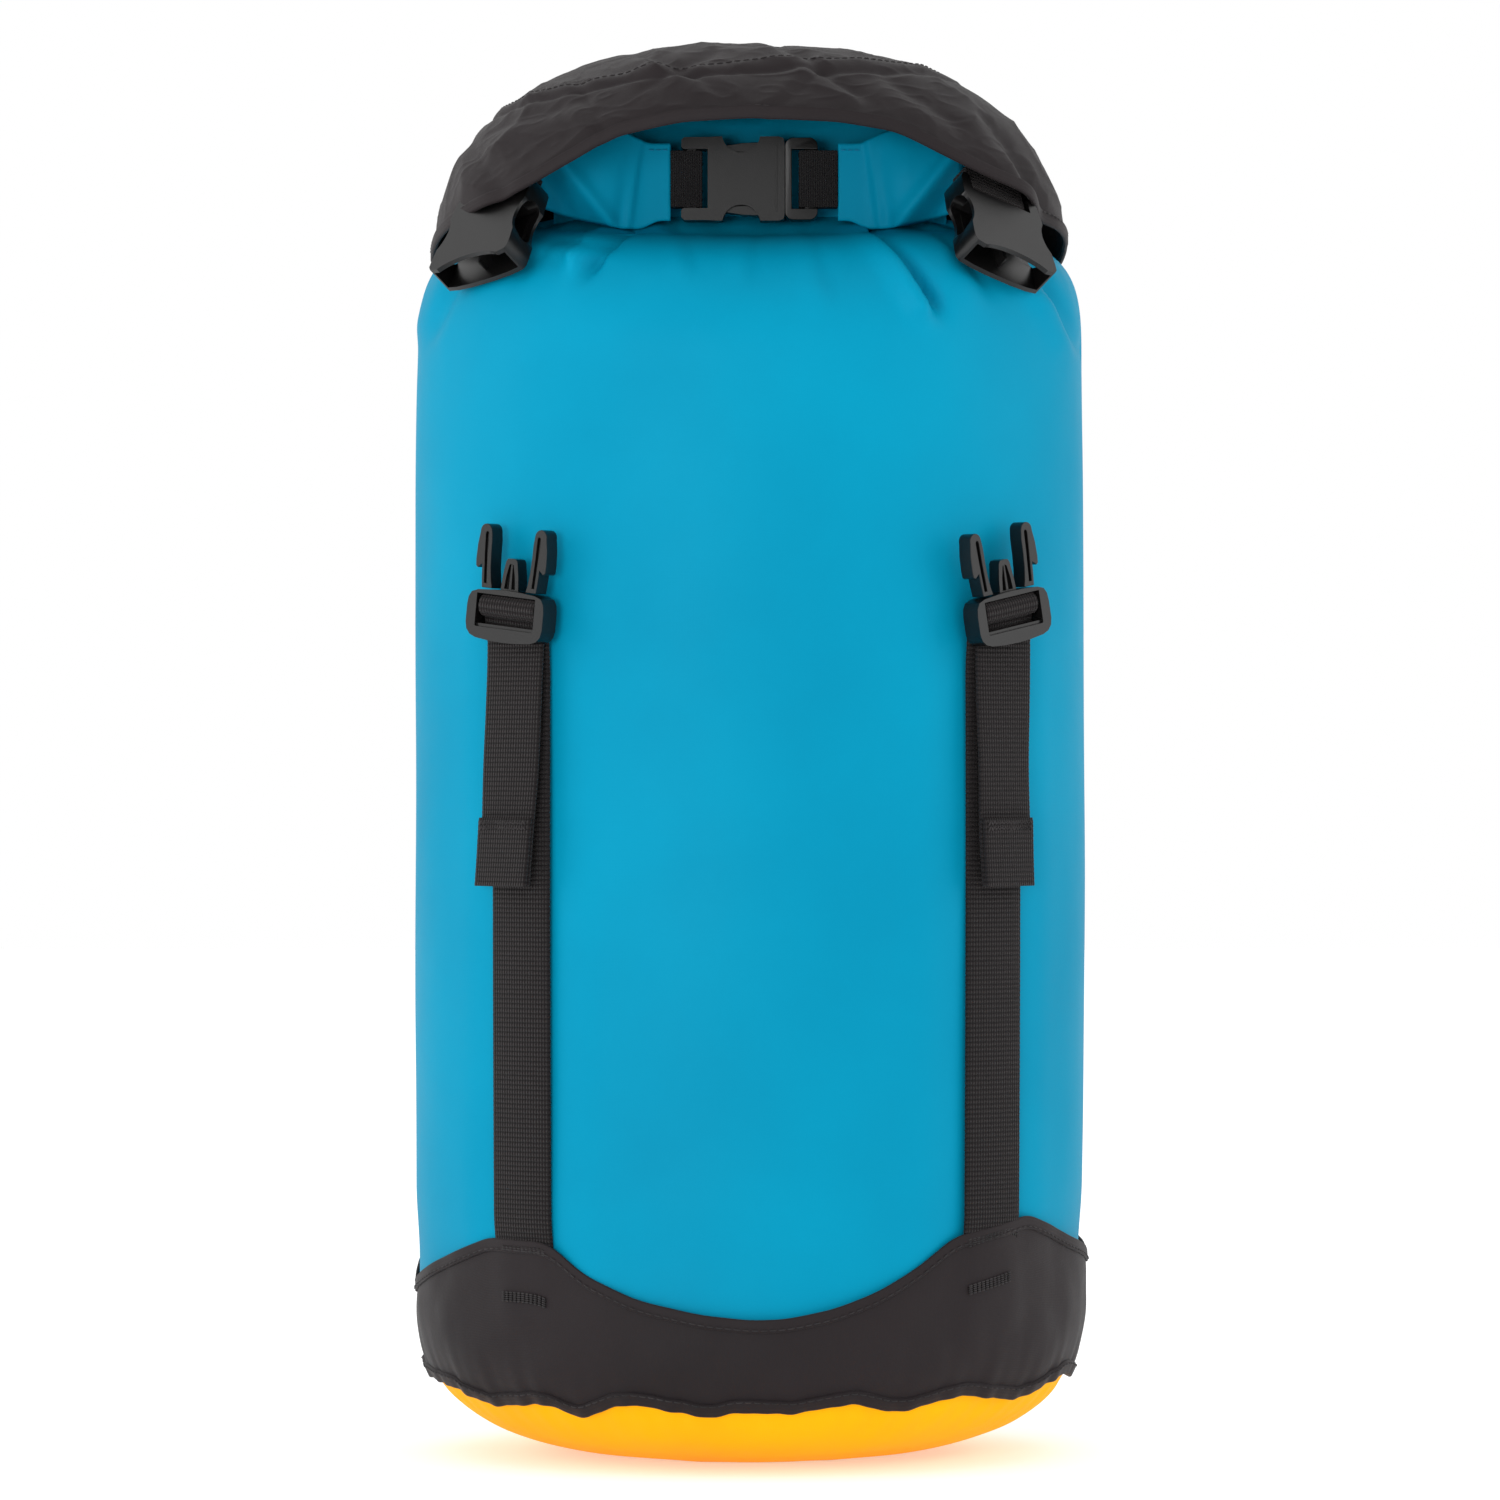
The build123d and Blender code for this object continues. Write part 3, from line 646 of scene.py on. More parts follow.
def make_band():
    """The black base band, its folded top edge, its elastic lower hem and their stitches."""
    columns = 480
    shares = np.linspace(0, 1, 26)
    rows = [[tuple(band_point(360 * c / columns - 180, share, 0)[0]) for c in range(columns)]
            for share in shares]
    cloth = grid_piece("base_band_cloth", np.array(rows), ring_uv(columns, GIRTH, shares * 50), BLACK,
                       closed=True)
    thicken(cloth, 0.9)
    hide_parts("base_band")
    path, outs = band_line(1, 0.25, columns)
    below, _ = band_line(1, 0.25, columns, -4.0)
    up = [(high - low).normalized() for high, low in zip(path, below)]
    edge = sweep_ring("base_band_edge", path, up, outs, strip_section(4.6, 1.1, -4.0), BLACK)
    path, outs = band_line(0, 0.2, columns)
    above, _ = band_line(0, 0.2, columns, 4.0)
    up = [(high - low).normalized() for high, low in zip(above, path)]
    hem = sweep_ring("base_band_hem_cloth", path, up, outs, strip_section(5.2, 2.0, -0.6), BLACK)
    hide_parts("base_band_elastic_hem")
    top_stitch = stitch_row("base_band_stitches", *band_line(1, 0.95, columns, -3.0))
    hem_stitch = stitch_row("base_band_hem_stitches", *band_line(0, 1.2, columns, 3.4))
    attach((cloth, edge, hem), "base")
    attach((top_stitch, hem_stitch), "base")


def strip_section(height, thick, low):
    """A flat strip's rounded section as (up, out) offsets."""
    half, points = thick / 2, []
    for middle, start in ((low + height - half, 0), (low + half, 180)):
        for turn in (0, 36, 72, 108, 144, 180):
            angle = math.radians(start + turn)
            points.append((middle + half * math.sin(angle), half * math.cos(angle)))
    return points


# ---- lid ----

LID_HEM = [(-180, 424.5), (-170, 430), (-157, 435), (-144, 439), (-134.5, 444.5), (-125, 454),
           (-117, 462), (-104, 467), (-90, 468.6), (-72, 467.6), (-60, 464.5), (-50, 456), (-39, 447),
           (-24, 438), (-8, 432.5), (0, 430), (45, 407), (90, 397), (135, 405), (180, 424.5)]


def lid_half(height):
    """Half width of the lid's dome, widening towards its hem."""
    share = max(0.0, min(1.0, (height - LID_BASE) / (LID_TOP - LID_BASE)))
    return LID_HALF * (1 - share**2.5) ** 0.4 + 0.05 * max(0.0, 436 - height)


LID_FOLDS = [
    (((84, 470), (104, 436)), 2.2, 3.0),
    (((95, 455), (108, 430)), 1.0, 2.4),
    (((8, 499), (36, 480)), 1.3, 2.2),
    (((-38, 494), (-14, 480)), 1.1, 2.2),
    (((-14, 493), (-34, 480)), 0.9, 2.0),
    (((-84, 470), (-60, 476)), 1.0, 3.0),
    (((-98, 462), (-86, 444)), 1.2, 3.4),
    (((50, 484), (70, 470)), 1.1, 2.6),
    (((-60, 484), (-52, 466)), 0.8, 2.4),
    (((24, 486), (10, 472)), 0.7, 2.0),
]


def lid_point(angle, share, out=0.0):
    """A point on the lid: share 0 is its hem, 1 the middle of its top."""
    hem = around(LID_HEM, math.degrees(angle))
    z = hem + (LID_TOP - 0.6 - hem) * (1 - (1 - share) ** 2.2)
    half = lid_half(z)
    x, y = half * math.cos(angle), half * DEPTH_RATIO * math.sin(angle)
    normal = Vector((x / 112**2, y / 98**2, max(0.0, z - LID_BASE) / 76**2)).normalized()
    seam = 480.5 - 6.5 * math.sin(angle) + 5.5 * math.cos(angle)
    calm = smooth_step(share, 0, 0.08)
    facing = smooth_step(-y, -5, 45) if y < 0 else 0.35
    relief = out + 1.0 * ripple(x, y, z, 62) + calm * 0.7 * ripple(x + 50, y, z * 1.4, 27) * facing
    relief += calm * (1.1 * ridge(x, y + 9, z * 1.3, 46, 3.0) - 0.5) * (0.4 + 0.6 * facing)
    relief += calm * 0.45 * ridge(x + 31, y, z * 1.6, 21, 3.0)
    relief += calm * 0.3 * ridge(x - 17, y, z * 1.8, 11, 3.0) * facing
    relief += 0.6 * math.exp(-((z - seam - 1.6) / 1.5) ** 2) - 1.0 * math.exp(-((z - seam + 1.2) / 1.1) ** 2)
    if y < 0:
        for ends, depth, width in LID_FOLDS:
            relief += crease(x, z, ends, depth, width)
    sides = math.exp(-((x - 86) / 20) ** 2) + math.exp(-((x + 86) / 20) ** 2)
    relief += (1.6 * sides * (1 - smooth_step(z, 440, 462))) if y < 0 else 0
    top_limit = LID_TOP + 2.5
    point = Vector((x, y, z)) + normal * relief
    point.z = min(point.z, top_limit)
    return point, normal


def lid_line(height_share, out, columns, lift=0.0, seam=False):
    """A line round the lid at a share of its height, or along its seam."""
    points, normals = [], []
    for c in range(columns):
        angle = TURN * c / columns - math.pi
        share = height_share
        hem = around(LID_HEM, math.degrees(angle))
        if seam or lift:
            target = 480.5 - 6.5 * math.sin(angle) + 5.5 * math.cos(angle) if seam else hem
            rise = min(0.98, (target + lift - hem) / (LID_TOP - 0.6 - hem))
            share = 1 - (1 - rise) ** (1 / 2.2)
        point, normal = lid_point(angle, share, out)
        points.append(point)
        normals.append(normal)
    return points, normals


def make_lid():
    """The domed black lid: crumpled cloth, seam, folded hem and stitches."""
    columns = 440
    shares = list(np.linspace(0, 0.9, 150)) + list(np.linspace(0.9, 0.995, 14))[1:]
    rows = [[tuple(lid_point(TURN * c / columns - math.pi, share)[0]) for c in range(columns)]
            for share in shares]
    heights = [share * 150 for share in shares]
    cloth = grid_piece("lid_cloth", np.array(rows), ring_uv(columns, GIRTH, heights), BLACK, closed=True,
                       caps=("high",))
    thicken(cloth, 0.9)
    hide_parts("lid_skirt", "lid_top_panel")
    path, outs = lid_line(0, 0.1, columns)
    up = [Vector((0, 0, 1))] * columns
    hem = sweep_ring("lid_hem_cloth", path, up, outs, strip_section(4.4, 1.5, -0.7), BLACK)
    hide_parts("lid_hem_binding")
    hem_stitch = stitch_row("lid_hem_stitches", *lid_line(0, 0.95, columns, lift=2.7))
    seam_stitch = stitch_row("lid_seam_stitches", *lid_line(0, 0.15, columns, lift=2.6, seam=True))
    attach((cloth, hem), "lid")
    attach((hem_stitch, seam_stitch), "lid")


# ---- buckles and webbing loops ----


class Place:
    """A buckle's own frame: x across, y along its length, z out of its front face."""

    def __init__(self, origin, x_dir, z_dir):
        self.origin = Vector(origin)
        self.x = Vector(x_dir).normalized()
        self.z = Vector(z_dir).normalized()
        self.y = self.z.cross(self.x).normalized()

    def at(self, x, y, z=0.0):
        return self.origin + self.x * x + self.y * y + self.z * z


def between_prongs(first, second):
    """The frame of a plug, from the pivots of its two latch prongs."""
    one, two = (Vector(joint(name)["pos_m"]) / MM for name in (first, second))
    normal = Vector(joint(first)["axis"])
    place = Place((one + two) / 2, one - two, normal)
    place.origin = place.at(0, -0.3)
    return place


def clip_place(side):
    """The frame of a front clip: its mouth at y = 0."""
    mount = next(m for m in frame["record"]["mounts"] if m["name"] == f"clip_{side}_mouth")
    across = -Vector(joint(f"clip_swing_{side}")["axis"])
    along = -Vector(mount["axis"])
    return Place(Vector(mount["pos_m"]) / MM, across, across.cross(along))


def wall_place(x, height, standoff=0.0, rear=False):
    """A frame on the sack's wall: x across, y up, z out of the wall."""
    half = WALL_HALF + BARREL
    depth = half * DEPTH_RATIO
    y = (1 if rear else -1) * depth * math.sqrt(1 - (x / half) ** 2)
    out = Vector((x / half**2, y / depth**2, 0)).normalized()
    return Place(Vector((x, y, height)) + out * standoff, Vector((0, 0, 1)).cross(out), out)


def softened(node, name, material, edge=0.45, place=None):
    """A copy of a CAD node with rounded edges; place gives it cloth coordinates along its y."""
    mesh = frame["nodes"][node].data.copy()
    mesh.name = name
    mesh.materials.clear()
    made = bmesh.new()
    made.from_mesh(mesh)
    bmesh.ops.remove_doubles(made, verts=made.verts, dist=0.02 * MM)
    bmesh.ops.dissolve_limit(made, angle_limit=math.radians(3), verts=made.verts, edges=made.edges)
    made.to_mesh(mesh)
    made.free()
    for layer in list(mesh.uv_layers):
        mesh.uv_layers.remove(layer)
    if place:
        layer = mesh.uv_layers.new(name="cloth_mm")
        for loop in mesh.loops:
            offset = mesh.vertices[loop.vertex_index].co / MM - place.origin
            layer.data[loop.index].uv = (offset.dot(place.x), offset.dot(place.y) + offset.dot(place.z))
    piece = bpy.data.objects.new(name, mesh)
    bpy.context.scene.collection.objects.link(piece)
    mesh.materials.append(material)
    soften(piece, edge, 35)
    attach([piece], frame["nodes"][node]["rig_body"], node)
    return piece


def slab(name, place, outline, near, far, edge=0.4):
    """An outline in a buckle's frame, from z = near to z = far, with rounded edges."""
    made = bmesh.new()
    low = [made.verts.new(place.at(x, y, near)) for x, y in outline]
    high = [made.verts.new(place.at(x, y, far)) for x, y in outline]
    count = len(outline)
    made.faces.new(low[::-1])
    made.faces.new(high)
    for k in range(count):
        made.faces.new((low[k], low[(k + 1) % count], high[(k + 1) % count], high[k]))
    bmesh.ops.recalc_face_normals(made, faces=made.faces)
    mesh = bpy.data.meshes.new(name)
    made.to_mesh(mesh)
    made.free()
    piece = finish_mesh(name, mesh, PLASTIC)
    if edge:
        soften(piece, edge, 28)
    return piece


def cutter(place, outline, near, far):
    """A sharp-edged slab to carve with."""
    return slab("cutter", place, outline, near, far, edge=0)


def carve(piece, *tools):
    """Takes the tools away from a piece for good, and removes them."""
    for tool in tools:
        made = piece.modifiers.new("cut", "BOOLEAN")
        made.operation = "DIFFERENCE"
        made.solver = "EXACT"
        made.object = tool
    bpy.context.view_layer.update()
    shown = bpy.context.evaluated_depsgraph_get()
    mesh = bpy.data.meshes.new_from_object(piece.evaluated_get(shown))
    piece.modifiers.clear()
    piece.data = mesh
    for tool in tools:
        bpy.data.objects.remove(tool)


def soften(piece, edge, angle=30):
    """Rounds a piece's edges where its faces turn by more than an angle in degrees."""
    bevel = piece.modifiers.new("edges", "BEVEL")
    bevel.width = edge * MM
    bevel.segments = 3
    bevel.angle_limit = math.radians(angle)
    bevel.harden_normals = True
    piece.data.shade_smooth()


def arc(centre, radius, start, end, steps=10):
    """Points along an arc, angles in degrees; radius may be a pair."""
    wide, tall = radius if isinstance(radius, tuple) else (radius, radius)
    turns = [math.radians(start + (end - start) * k / steps) for k in range(steps + 1)]
    return [(centre[0] + wide * math.cos(t), centre[1] + tall * math.sin(t)) for t in turns]


def mirrored(points):
    """An outline given for x > 0, from top to foot, closed by its mirror image."""
    return points + [(-x, y) for x, y in reversed(points)]


def make_prong(name, node, place, side, barb):
    """A latch arm: a curved arm from the frame, a barb with a shoulder, and a hollow rib."""
    root = 0.35
    outer = [(barb - 3.5, root), (barb - 3.1, 4), (barb - 2.8, 8.4), (barb - 1.0, 7.0), (barb - 0.2, 7.6),
             (barb, 10), (barb - 0.2, 15), (barb - 0.9, 19.3)]
    tip = arc((barb - 3.4, 19.9), (2.5, 2.5), 0, 180, 8)
    inner = [(barb - 6.3, 17), (barb - 6.4, 12), (barb - 6.7, 7), (barb - 7.3, 3), (barb - 8.0, root)]
    outline = [(side * x, y) for x, y in outer + tip + inner]
    piece = slab(name, place, outline, -3.0, 3.0, edge=0)
    groove = arc((barb - 4.1, 18.6), (0.7, 1.2), 0, 180, 6) + [(barb - 5.0, 12), (barb - 5.6, 2),
                                                               (barb - 4.4, 2), (barb - 3.7, 12)]
    carve(piece, cutter(place, [(side * (x + 0.1), y) for x, y in groove], 1.5, 4))
    soften(piece, 0.5)
    attach([piece], frame["nodes"][node]["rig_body"], node)


def make_adjuster(side):
    """A plug with a centre guide, rounded frame and lower bar; the webbing turns over its bar."""
    place = between_prongs(f"pinch_{side}_a", f"pinch_{side}_b")
    body = f"adjuster_{side}"
    frame_outline = mirrored([(0.01, 0.3), (6.0, 0.1), (12.5, -0.4), (15.2, -1.3), (16.4, -3.2), (16.8, -6),
                              (16.8, -12), (16.2, -14.4), (14.6, -16.1), (12, -17), (6, -17.6),
                              (0.01, -17.8)])
    shell = slab(f"adjuster_frame_{side}_shell", place, frame_outline, -3.6, 4.0, edge=0)
    opening = mirrored([(12.8, -1.6), (12.8, -12.6), (12.4, -13.1)])
    carve(shell, cutter(place, opening, -9, 9),
          cutter(place, mirrored([(12.9, -11.5), (12.9, -30)]), -9, 0.6))
    soften(shell, 0.7)
    bar = slab(f"adjuster_frame_{side}_bar", place, mirrored([(13.2, -4.1), (13.2, -7.1)]), -1.9, 1.9)
    ledge = slab(f"adjuster_frame_{side}_ledge", place, mirrored([(13.0, -11.9), (13.0, -14.4)]), 0.7, 3.0,
                 edge=0.3)
    guide = mirrored([(0.01, 11.4), (1.8, 11.2), (2.5, 10.2), (3.4, 5), (3.9, -0.6)])
    spine = slab(f"adjuster_frame_{side}_guide", place, guide, -2.5, 2.5, edge=0)
    hollow = mirrored([(0.01, 9.6), (0.9, 9.2), (1.9, 5), (2.4, 0.8)])
    carve(spine, cutter(place, hollow, 1.0, 4), cutter(place, hollow, -4, -1.0))
    soften(spine, 0.4)
    rib = slab(f"adjuster_frame_{side}_rib", place, mirrored([(0.35, 10.4), (0.6, 0.2)]), -2.3, 2.3,
               edge=0.2)
    attach((shell, bar, ledge, spine, rib), body, f"adjuster_frame_{side}")
    for letter, sign in (("a", 1), ("b", -1)):
        make_prong(f"latch_arm_{side}_{letter}", f"latch_prong_{side}_{letter}", place, sign, 15.4)
    loop_spine, loop_out = [], []
    for turn in np.linspace(-100, 100, 19):
        angle = math.radians(turn)
        out = place.y * math.sin(angle) + place.z * math.cos(angle)
        loop_spine.append(place.at(0, -5.6 + 3.3 * math.sin(angle), 0.2 + 2.9 * math.cos(angle)))
        loop_out.append(out)
    start = [place.at(0, -12.5, -1.4)]
    end = [place.at(0, -3.4, -2.5), place.at(0, -10.5, -4.4)]
    spine_points = start + loop_spine + end
    outs = [loop_out[0]] + loop_out + [-place.z, -place.z]
    loop = webbing(f"adjuster_loop_{side}", spine_points, [place.x] * len(spine_points), outs, 24.4, 1.3)
    attach([loop], body, f"adjuster_webbing_{side}")


def capsule(half, low, high):
    """A rounded slot's outline along y, of a half width, from low to high."""
    return arc((0, high - half), half, 0, 180, 8) + arc((0, low + half), half, 180, 360, 8)


def taper(piece, place, length, share):
    """Thins a buckle towards its webbing bar."""
    for vertex in piece.data.vertices:
        offset = vertex.co / MM - place.origin
        depth = offset.dot(place.z)
        along = smooth_step(offset.dot(place.y), 0.25 * length, length)
        vertex.co -= place.z * depth * share * along * MM


def make_socket(name, place, outline, width, thick, window, waist, scoop=None):
    """A side-release socket: cavity, side windows, waisted plates, webbing slot and bar."""
    body = slab(f"{name}_shell", place, outline, -thick / 2, thick / 2, edge=0)
    wall = 1.8
    cavity = mirrored([(0.01, 26), (width / 2 - wall, 26), (width / 2 - wall, -5)])
    side_view = Place(place.origin, place.z, place.x)
    side_view.y = place.y
    tools = [cutter(place, cavity, wall - thick / 2, thick / 2 - wall)]
    for sign in (-1, 1):
        ends = sorted((sign * (width / 2 - 5.4), sign * (width / 2 + 6)))
        hole = capsule(thick / 2 - wall + 0.5, *window)
        tools.append(cutter(side_view, hole, *ends))
        radius, depth, height = waist
        centre = (sign * (width / 2 + radius - depth), height)
        tools.append(cutter(place, arc(centre, radius, 0, 350, 35), -9, 9))
    if scoop:
        tools.append(cutter(place, arc((0, -3.2), scoop, 0, 350, 35), 0, 9))
    carve(body, *tools)
    return body


def make_closure():
    """The closure buckle's plug and socket, and the webbing at both of its ends."""
    place = between_prongs("closure_pinch_upper", "closure_pinch_lower")
    outline = mirrored([(0.01, 27.2), (10.4, 27.2), (10.4, 35.8), (11.2, 36.5), (13.6, 36.5), (14.6, 35.4),
                        (14.6, 27.5), (14.8, 24), (14.8, 2.2), (14.2, 0.5), (12, 0.1)])
    socket = make_socket("closure_socket", place, outline, 29.6, 9.5, (8, 22), (6.8, 5.6, 15.4))
    soften(socket, 0.6, angle=40)
    bar = slab("closure_socket_bar", place, mirrored([(10.8, 34.6), (10.8, 31.0)]), -1.9, 1.9)
    rim = slab("closure_socket_rim", place, mirrored([(11.6, 3.3), (11.6, 2.7)]), 4.6, 4.9,
               edge=0.1)
    attach((socket, bar, rim), "top", "closure_socket")
    softened("closure_plug", "closure_plug_body", PLASTIC, 0.9)
    for level, sign in (("upper", 1), ("lower", -1)):
        make_prong(f"closure_arm_{level}", f"closure_prong_{level}", place, sign, 12.9)
    for side in ("left", "right"):
        softened(f"closure_webbing_{side}", f"closure_loop_{side}", SMOOTH_WEBBING, 0.5, place)


def make_clip(side):
    """A front clip and the webbing tab that it hangs from."""
    place = clip_place(side)
    outline = mirrored([(0.01, 28.6), (12.9, 28.6), (12.9, 35.0), (13.6, 36.2), (15.4, 35.8), (16.8, 33.4),
                        (17.2, 29), (17.4, 24), (17.6, 10), (18.0, 5), (18.0, 1.8), (17.0, 0.2),
                        (12.0, -0.9), (5.0, -1.4)])
    body = make_socket(f"clip_{side}", place, outline, 36.0, 11.5, (9, 26.5), (14.5, 2.6, 17.5),
                       (15.4, 5.6))
    taper(body, place, 36.5, 0.12)
    soften(body, 0.7, angle=35)
    bar = slab(f"clip_{side}_bar", place, mirrored([(13.2, 36.2), (13.2, 31.6)]), -1.9, 1.9)
    rib = slab(f"clip_{side}_rib", place, mirrored([(0.9, 25), (0.9, 5), (0.3, 3.4)]), -4.2, 0.4,
               edge=0.2)
    attach((body, bar, rib), f"clip_{side}", f"clip_socket_{side}")
    softened(f"clip_tab_{side}", f"clip_loop_{side}", WEBBING, 0.5, place)


def make_ladder(side):
    """A rear ladder lock with its turned webbing and its tab under the lid."""
    x = strap_x("rear", side)
    place = wall_place(x, 388, 7.7, rear=True)
    softened(f"ladder_lock_{side}", f"ladder_frame_{side}", PLASTIC, 0.7)
    softened(f"ladder_webbing_{side}", f"ladder_loop_{side}", WEBBING, 0.5, place)
    softened(f"lid_tab_rear_{side}", f"rear_tab_{side}", WEBBING, 0.5, place)


# ---- straps and their loose tails ----


def bartack(name, place, width, rows, body, lift):
    """Dense zigzag stitching across webbing: rows are heights along the frame's y."""
    made = []
    for row in rows:
        path, outs = [], []
        steps = int(width / 0.9)
        for k in range(steps + 1):
            path.append(place.at(-width / 2 + width * k / steps, row + (1.0 if k % 2 else -1.0), lift))
            outs.append(place.z)
        made.append(stitch_row(f"{name}_{len(made)}", path, outs, 1.9, 0.5, 0.36, closed=False))
    attach(made, body)


def strap_x(place_name, side):
    """A strap's x where it lies on the wall: its box's middle, less the part that stands off."""
    middle = STRAPS[place_name, side][0]
    return middle - math.copysign(0.4, middle) if middle > 0 else middle - 0.3


def make_strap(place_name, side):
    """A compression strap from under the base band up to its buckle."""
    x = strap_x(place_name, side)
    rear = place_name == "rear"
    top = 386 if rear else 297
    spine, across, outs = [], [], []
    for z in np.linspace(52, top, 60):
        place = wall_place(x, z, 0, rear)
        near_band = 1 - smooth_step(z, 70, 90)
        near_buckle = smooth_step(z, top - 22, top)
        drop = WALL_HALF + BARREL - sack_half(z)
        out = 1.9 - 1.7 * near_band + 1.2 * near_buckle
        spine.append(place.at(0, 0, out) - place.z * drop * 0.98)
        across.append(place.x)
        outs.append(place.z)
    name = f"strap_{place_name}_{side}"
    strap = webbing(f"webbing_{place_name}_{side}", spine, across, outs, 25, 1.5, curl=1.1)
    attach([strap], "base", name)
    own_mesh(strap)


def make_tail(side, rear=False):
    """A loose tail that hangs from a buckle, with its end doubled and stitched."""
    place_name = "rear" if rear else "front"
    x = strap_x(place_name, side)
    tag = "rear_" if rear else ""
    top, foot = (368, 236) if rear else (292, 203)
    sway = {"left": -4.2, "right": 2.2}[side] * (0.3 if rear else 1)
    lean = 0.0 if rear else {"left": 0.4, "right": 1.6}[side]
    spine, across, outs = [], [], []
    for z in np.linspace(foot, top, 50):
        share = (top - z) / (top - foot)
        place = wall_place(x, z, 0, rear)
        out = 4.6 + 1.0 * math.sin(math.pi * share) + 1.4 * share**3
        shift = sway * (share**2.2) + lean * (1 - share) ** 2
        spine.append(place.at(shift * (-1 if rear else 1), 0, out))
        twist = Vector(place.x) + place.z * 0.12 * share * (1 if side == "left" else -1)
        across.append(twist.normalized())
        outs.append(place.z)
    body = "top" if rear else f"adjuster_{side}"
    tail = webbing(f"tail_{tag}{side}", spine, across, outs, 25, 1.4, curl=0.5, drift=1.0)
    attach([tail], body, f"strap_tail_{tag}{side}")
    hem_count = int(50 * 24 / (top - foot))
    lifted = [p + o * 1.75 for p, o in zip(spine[:hem_count + 1], outs)]
    lifted[-1] = lifted[-1] - outs[0] * 0.25
    hem = webbing(f"tail_hem_{tag}{side}", lifted, across[:hem_count + 1], outs[:hem_count + 1], 25, 1.4,
                  curl=0.5)
    attach([hem], body, f"strap_tail_hem_{tag}{side}")
    index = hem_count - 2
    place = Place(lifted[index], across[index], outs[index])
    bartack(f"tail_bartack_{tag}{side}", place, 22, [0.0, 1.9], body, 0.55)


def make_band_bartacks():
    """The stitching that holds each strap under the band."""
    made = []
    for (place_name, side), middle in STRAPS.items():
        rear = place_name == "rear"
        slant = 0.12 if side == "right" else -0.03
        heights = (72, 56) if rear else {"left": (78.5, 61), "right": (83, 66)}[side]
        for height in heights:
            degrees = math.degrees(math.atan2(middle[1] / DEPTH_RATIO, middle[0]))
            low, high = around(WAVES, degrees), around(SCALLOPS, degrees)
            for row in range(5):
                path, outs = [], []
                for k in range(21):
                    across = (k / 20 - 0.5) * 21
                    turn = degrees + across / WALL_HALF * 57.3 * (-1 if rear else 1)
                    share = (height + across * slant + 0.72 * (row - 2) - low) / (high - low)
                    point, normal = band_point(turn, min(0.97, share), 0.62)
                    path.append(point)
                    outs.append(normal)
                made.append(stitch_row(f"band_bartack_{place_name}_{side}_{int(height)}_{row}", path, outs,
                                       1.5, 0.25, 0.36, closed=False))
    attach(made, "base", "strap_bartacks")


# ---- rolled mouth and its tabs ----


def make_roll():
    """The mouth rolled three turns, lying across the top."""
    low, high = box_mm("rolled_mouth")
    middle = (low + high) / 2
    height, depth = high[2] - low[2] + 9, high[1] - low[1]
    middle[2] += 4
    rows, stations = [], np.linspace(low[0], high[0], 150)
    for x in stations:
        ring = []
        for k in range(56):
            turn = TURN * k / 56
            flat = 0.55
            y = depth / 2 * math.copysign(abs(math.cos(turn)) ** flat, math.cos(turn))
            z = height / 2 * math.copysign(abs(math.sin(turn)) ** flat, math.sin(turn))
            fold = 0.7 * math.sin(3 * turn + x * 0.01) if y < 0 else 0
            wrinkle = 0.8 * ripple(x * 0.8, y, z * 2.2, 17) + 0.5 * ridge(x * 0.5, y, z * 2.6, 15) + fold
            ring.append((x, middle[1] + y * (1 + wrinkle / 14), middle[2] + z * (1 + wrinkle / 40)))
        rows.append(ring)
    roll = grid_piece("roll_cloth", np.array(rows), ring_uv(56, 80, stations), BLUE, closed=True,
                      caps=("low", "high"))
    attach([roll], "top", "rolled_mouth")


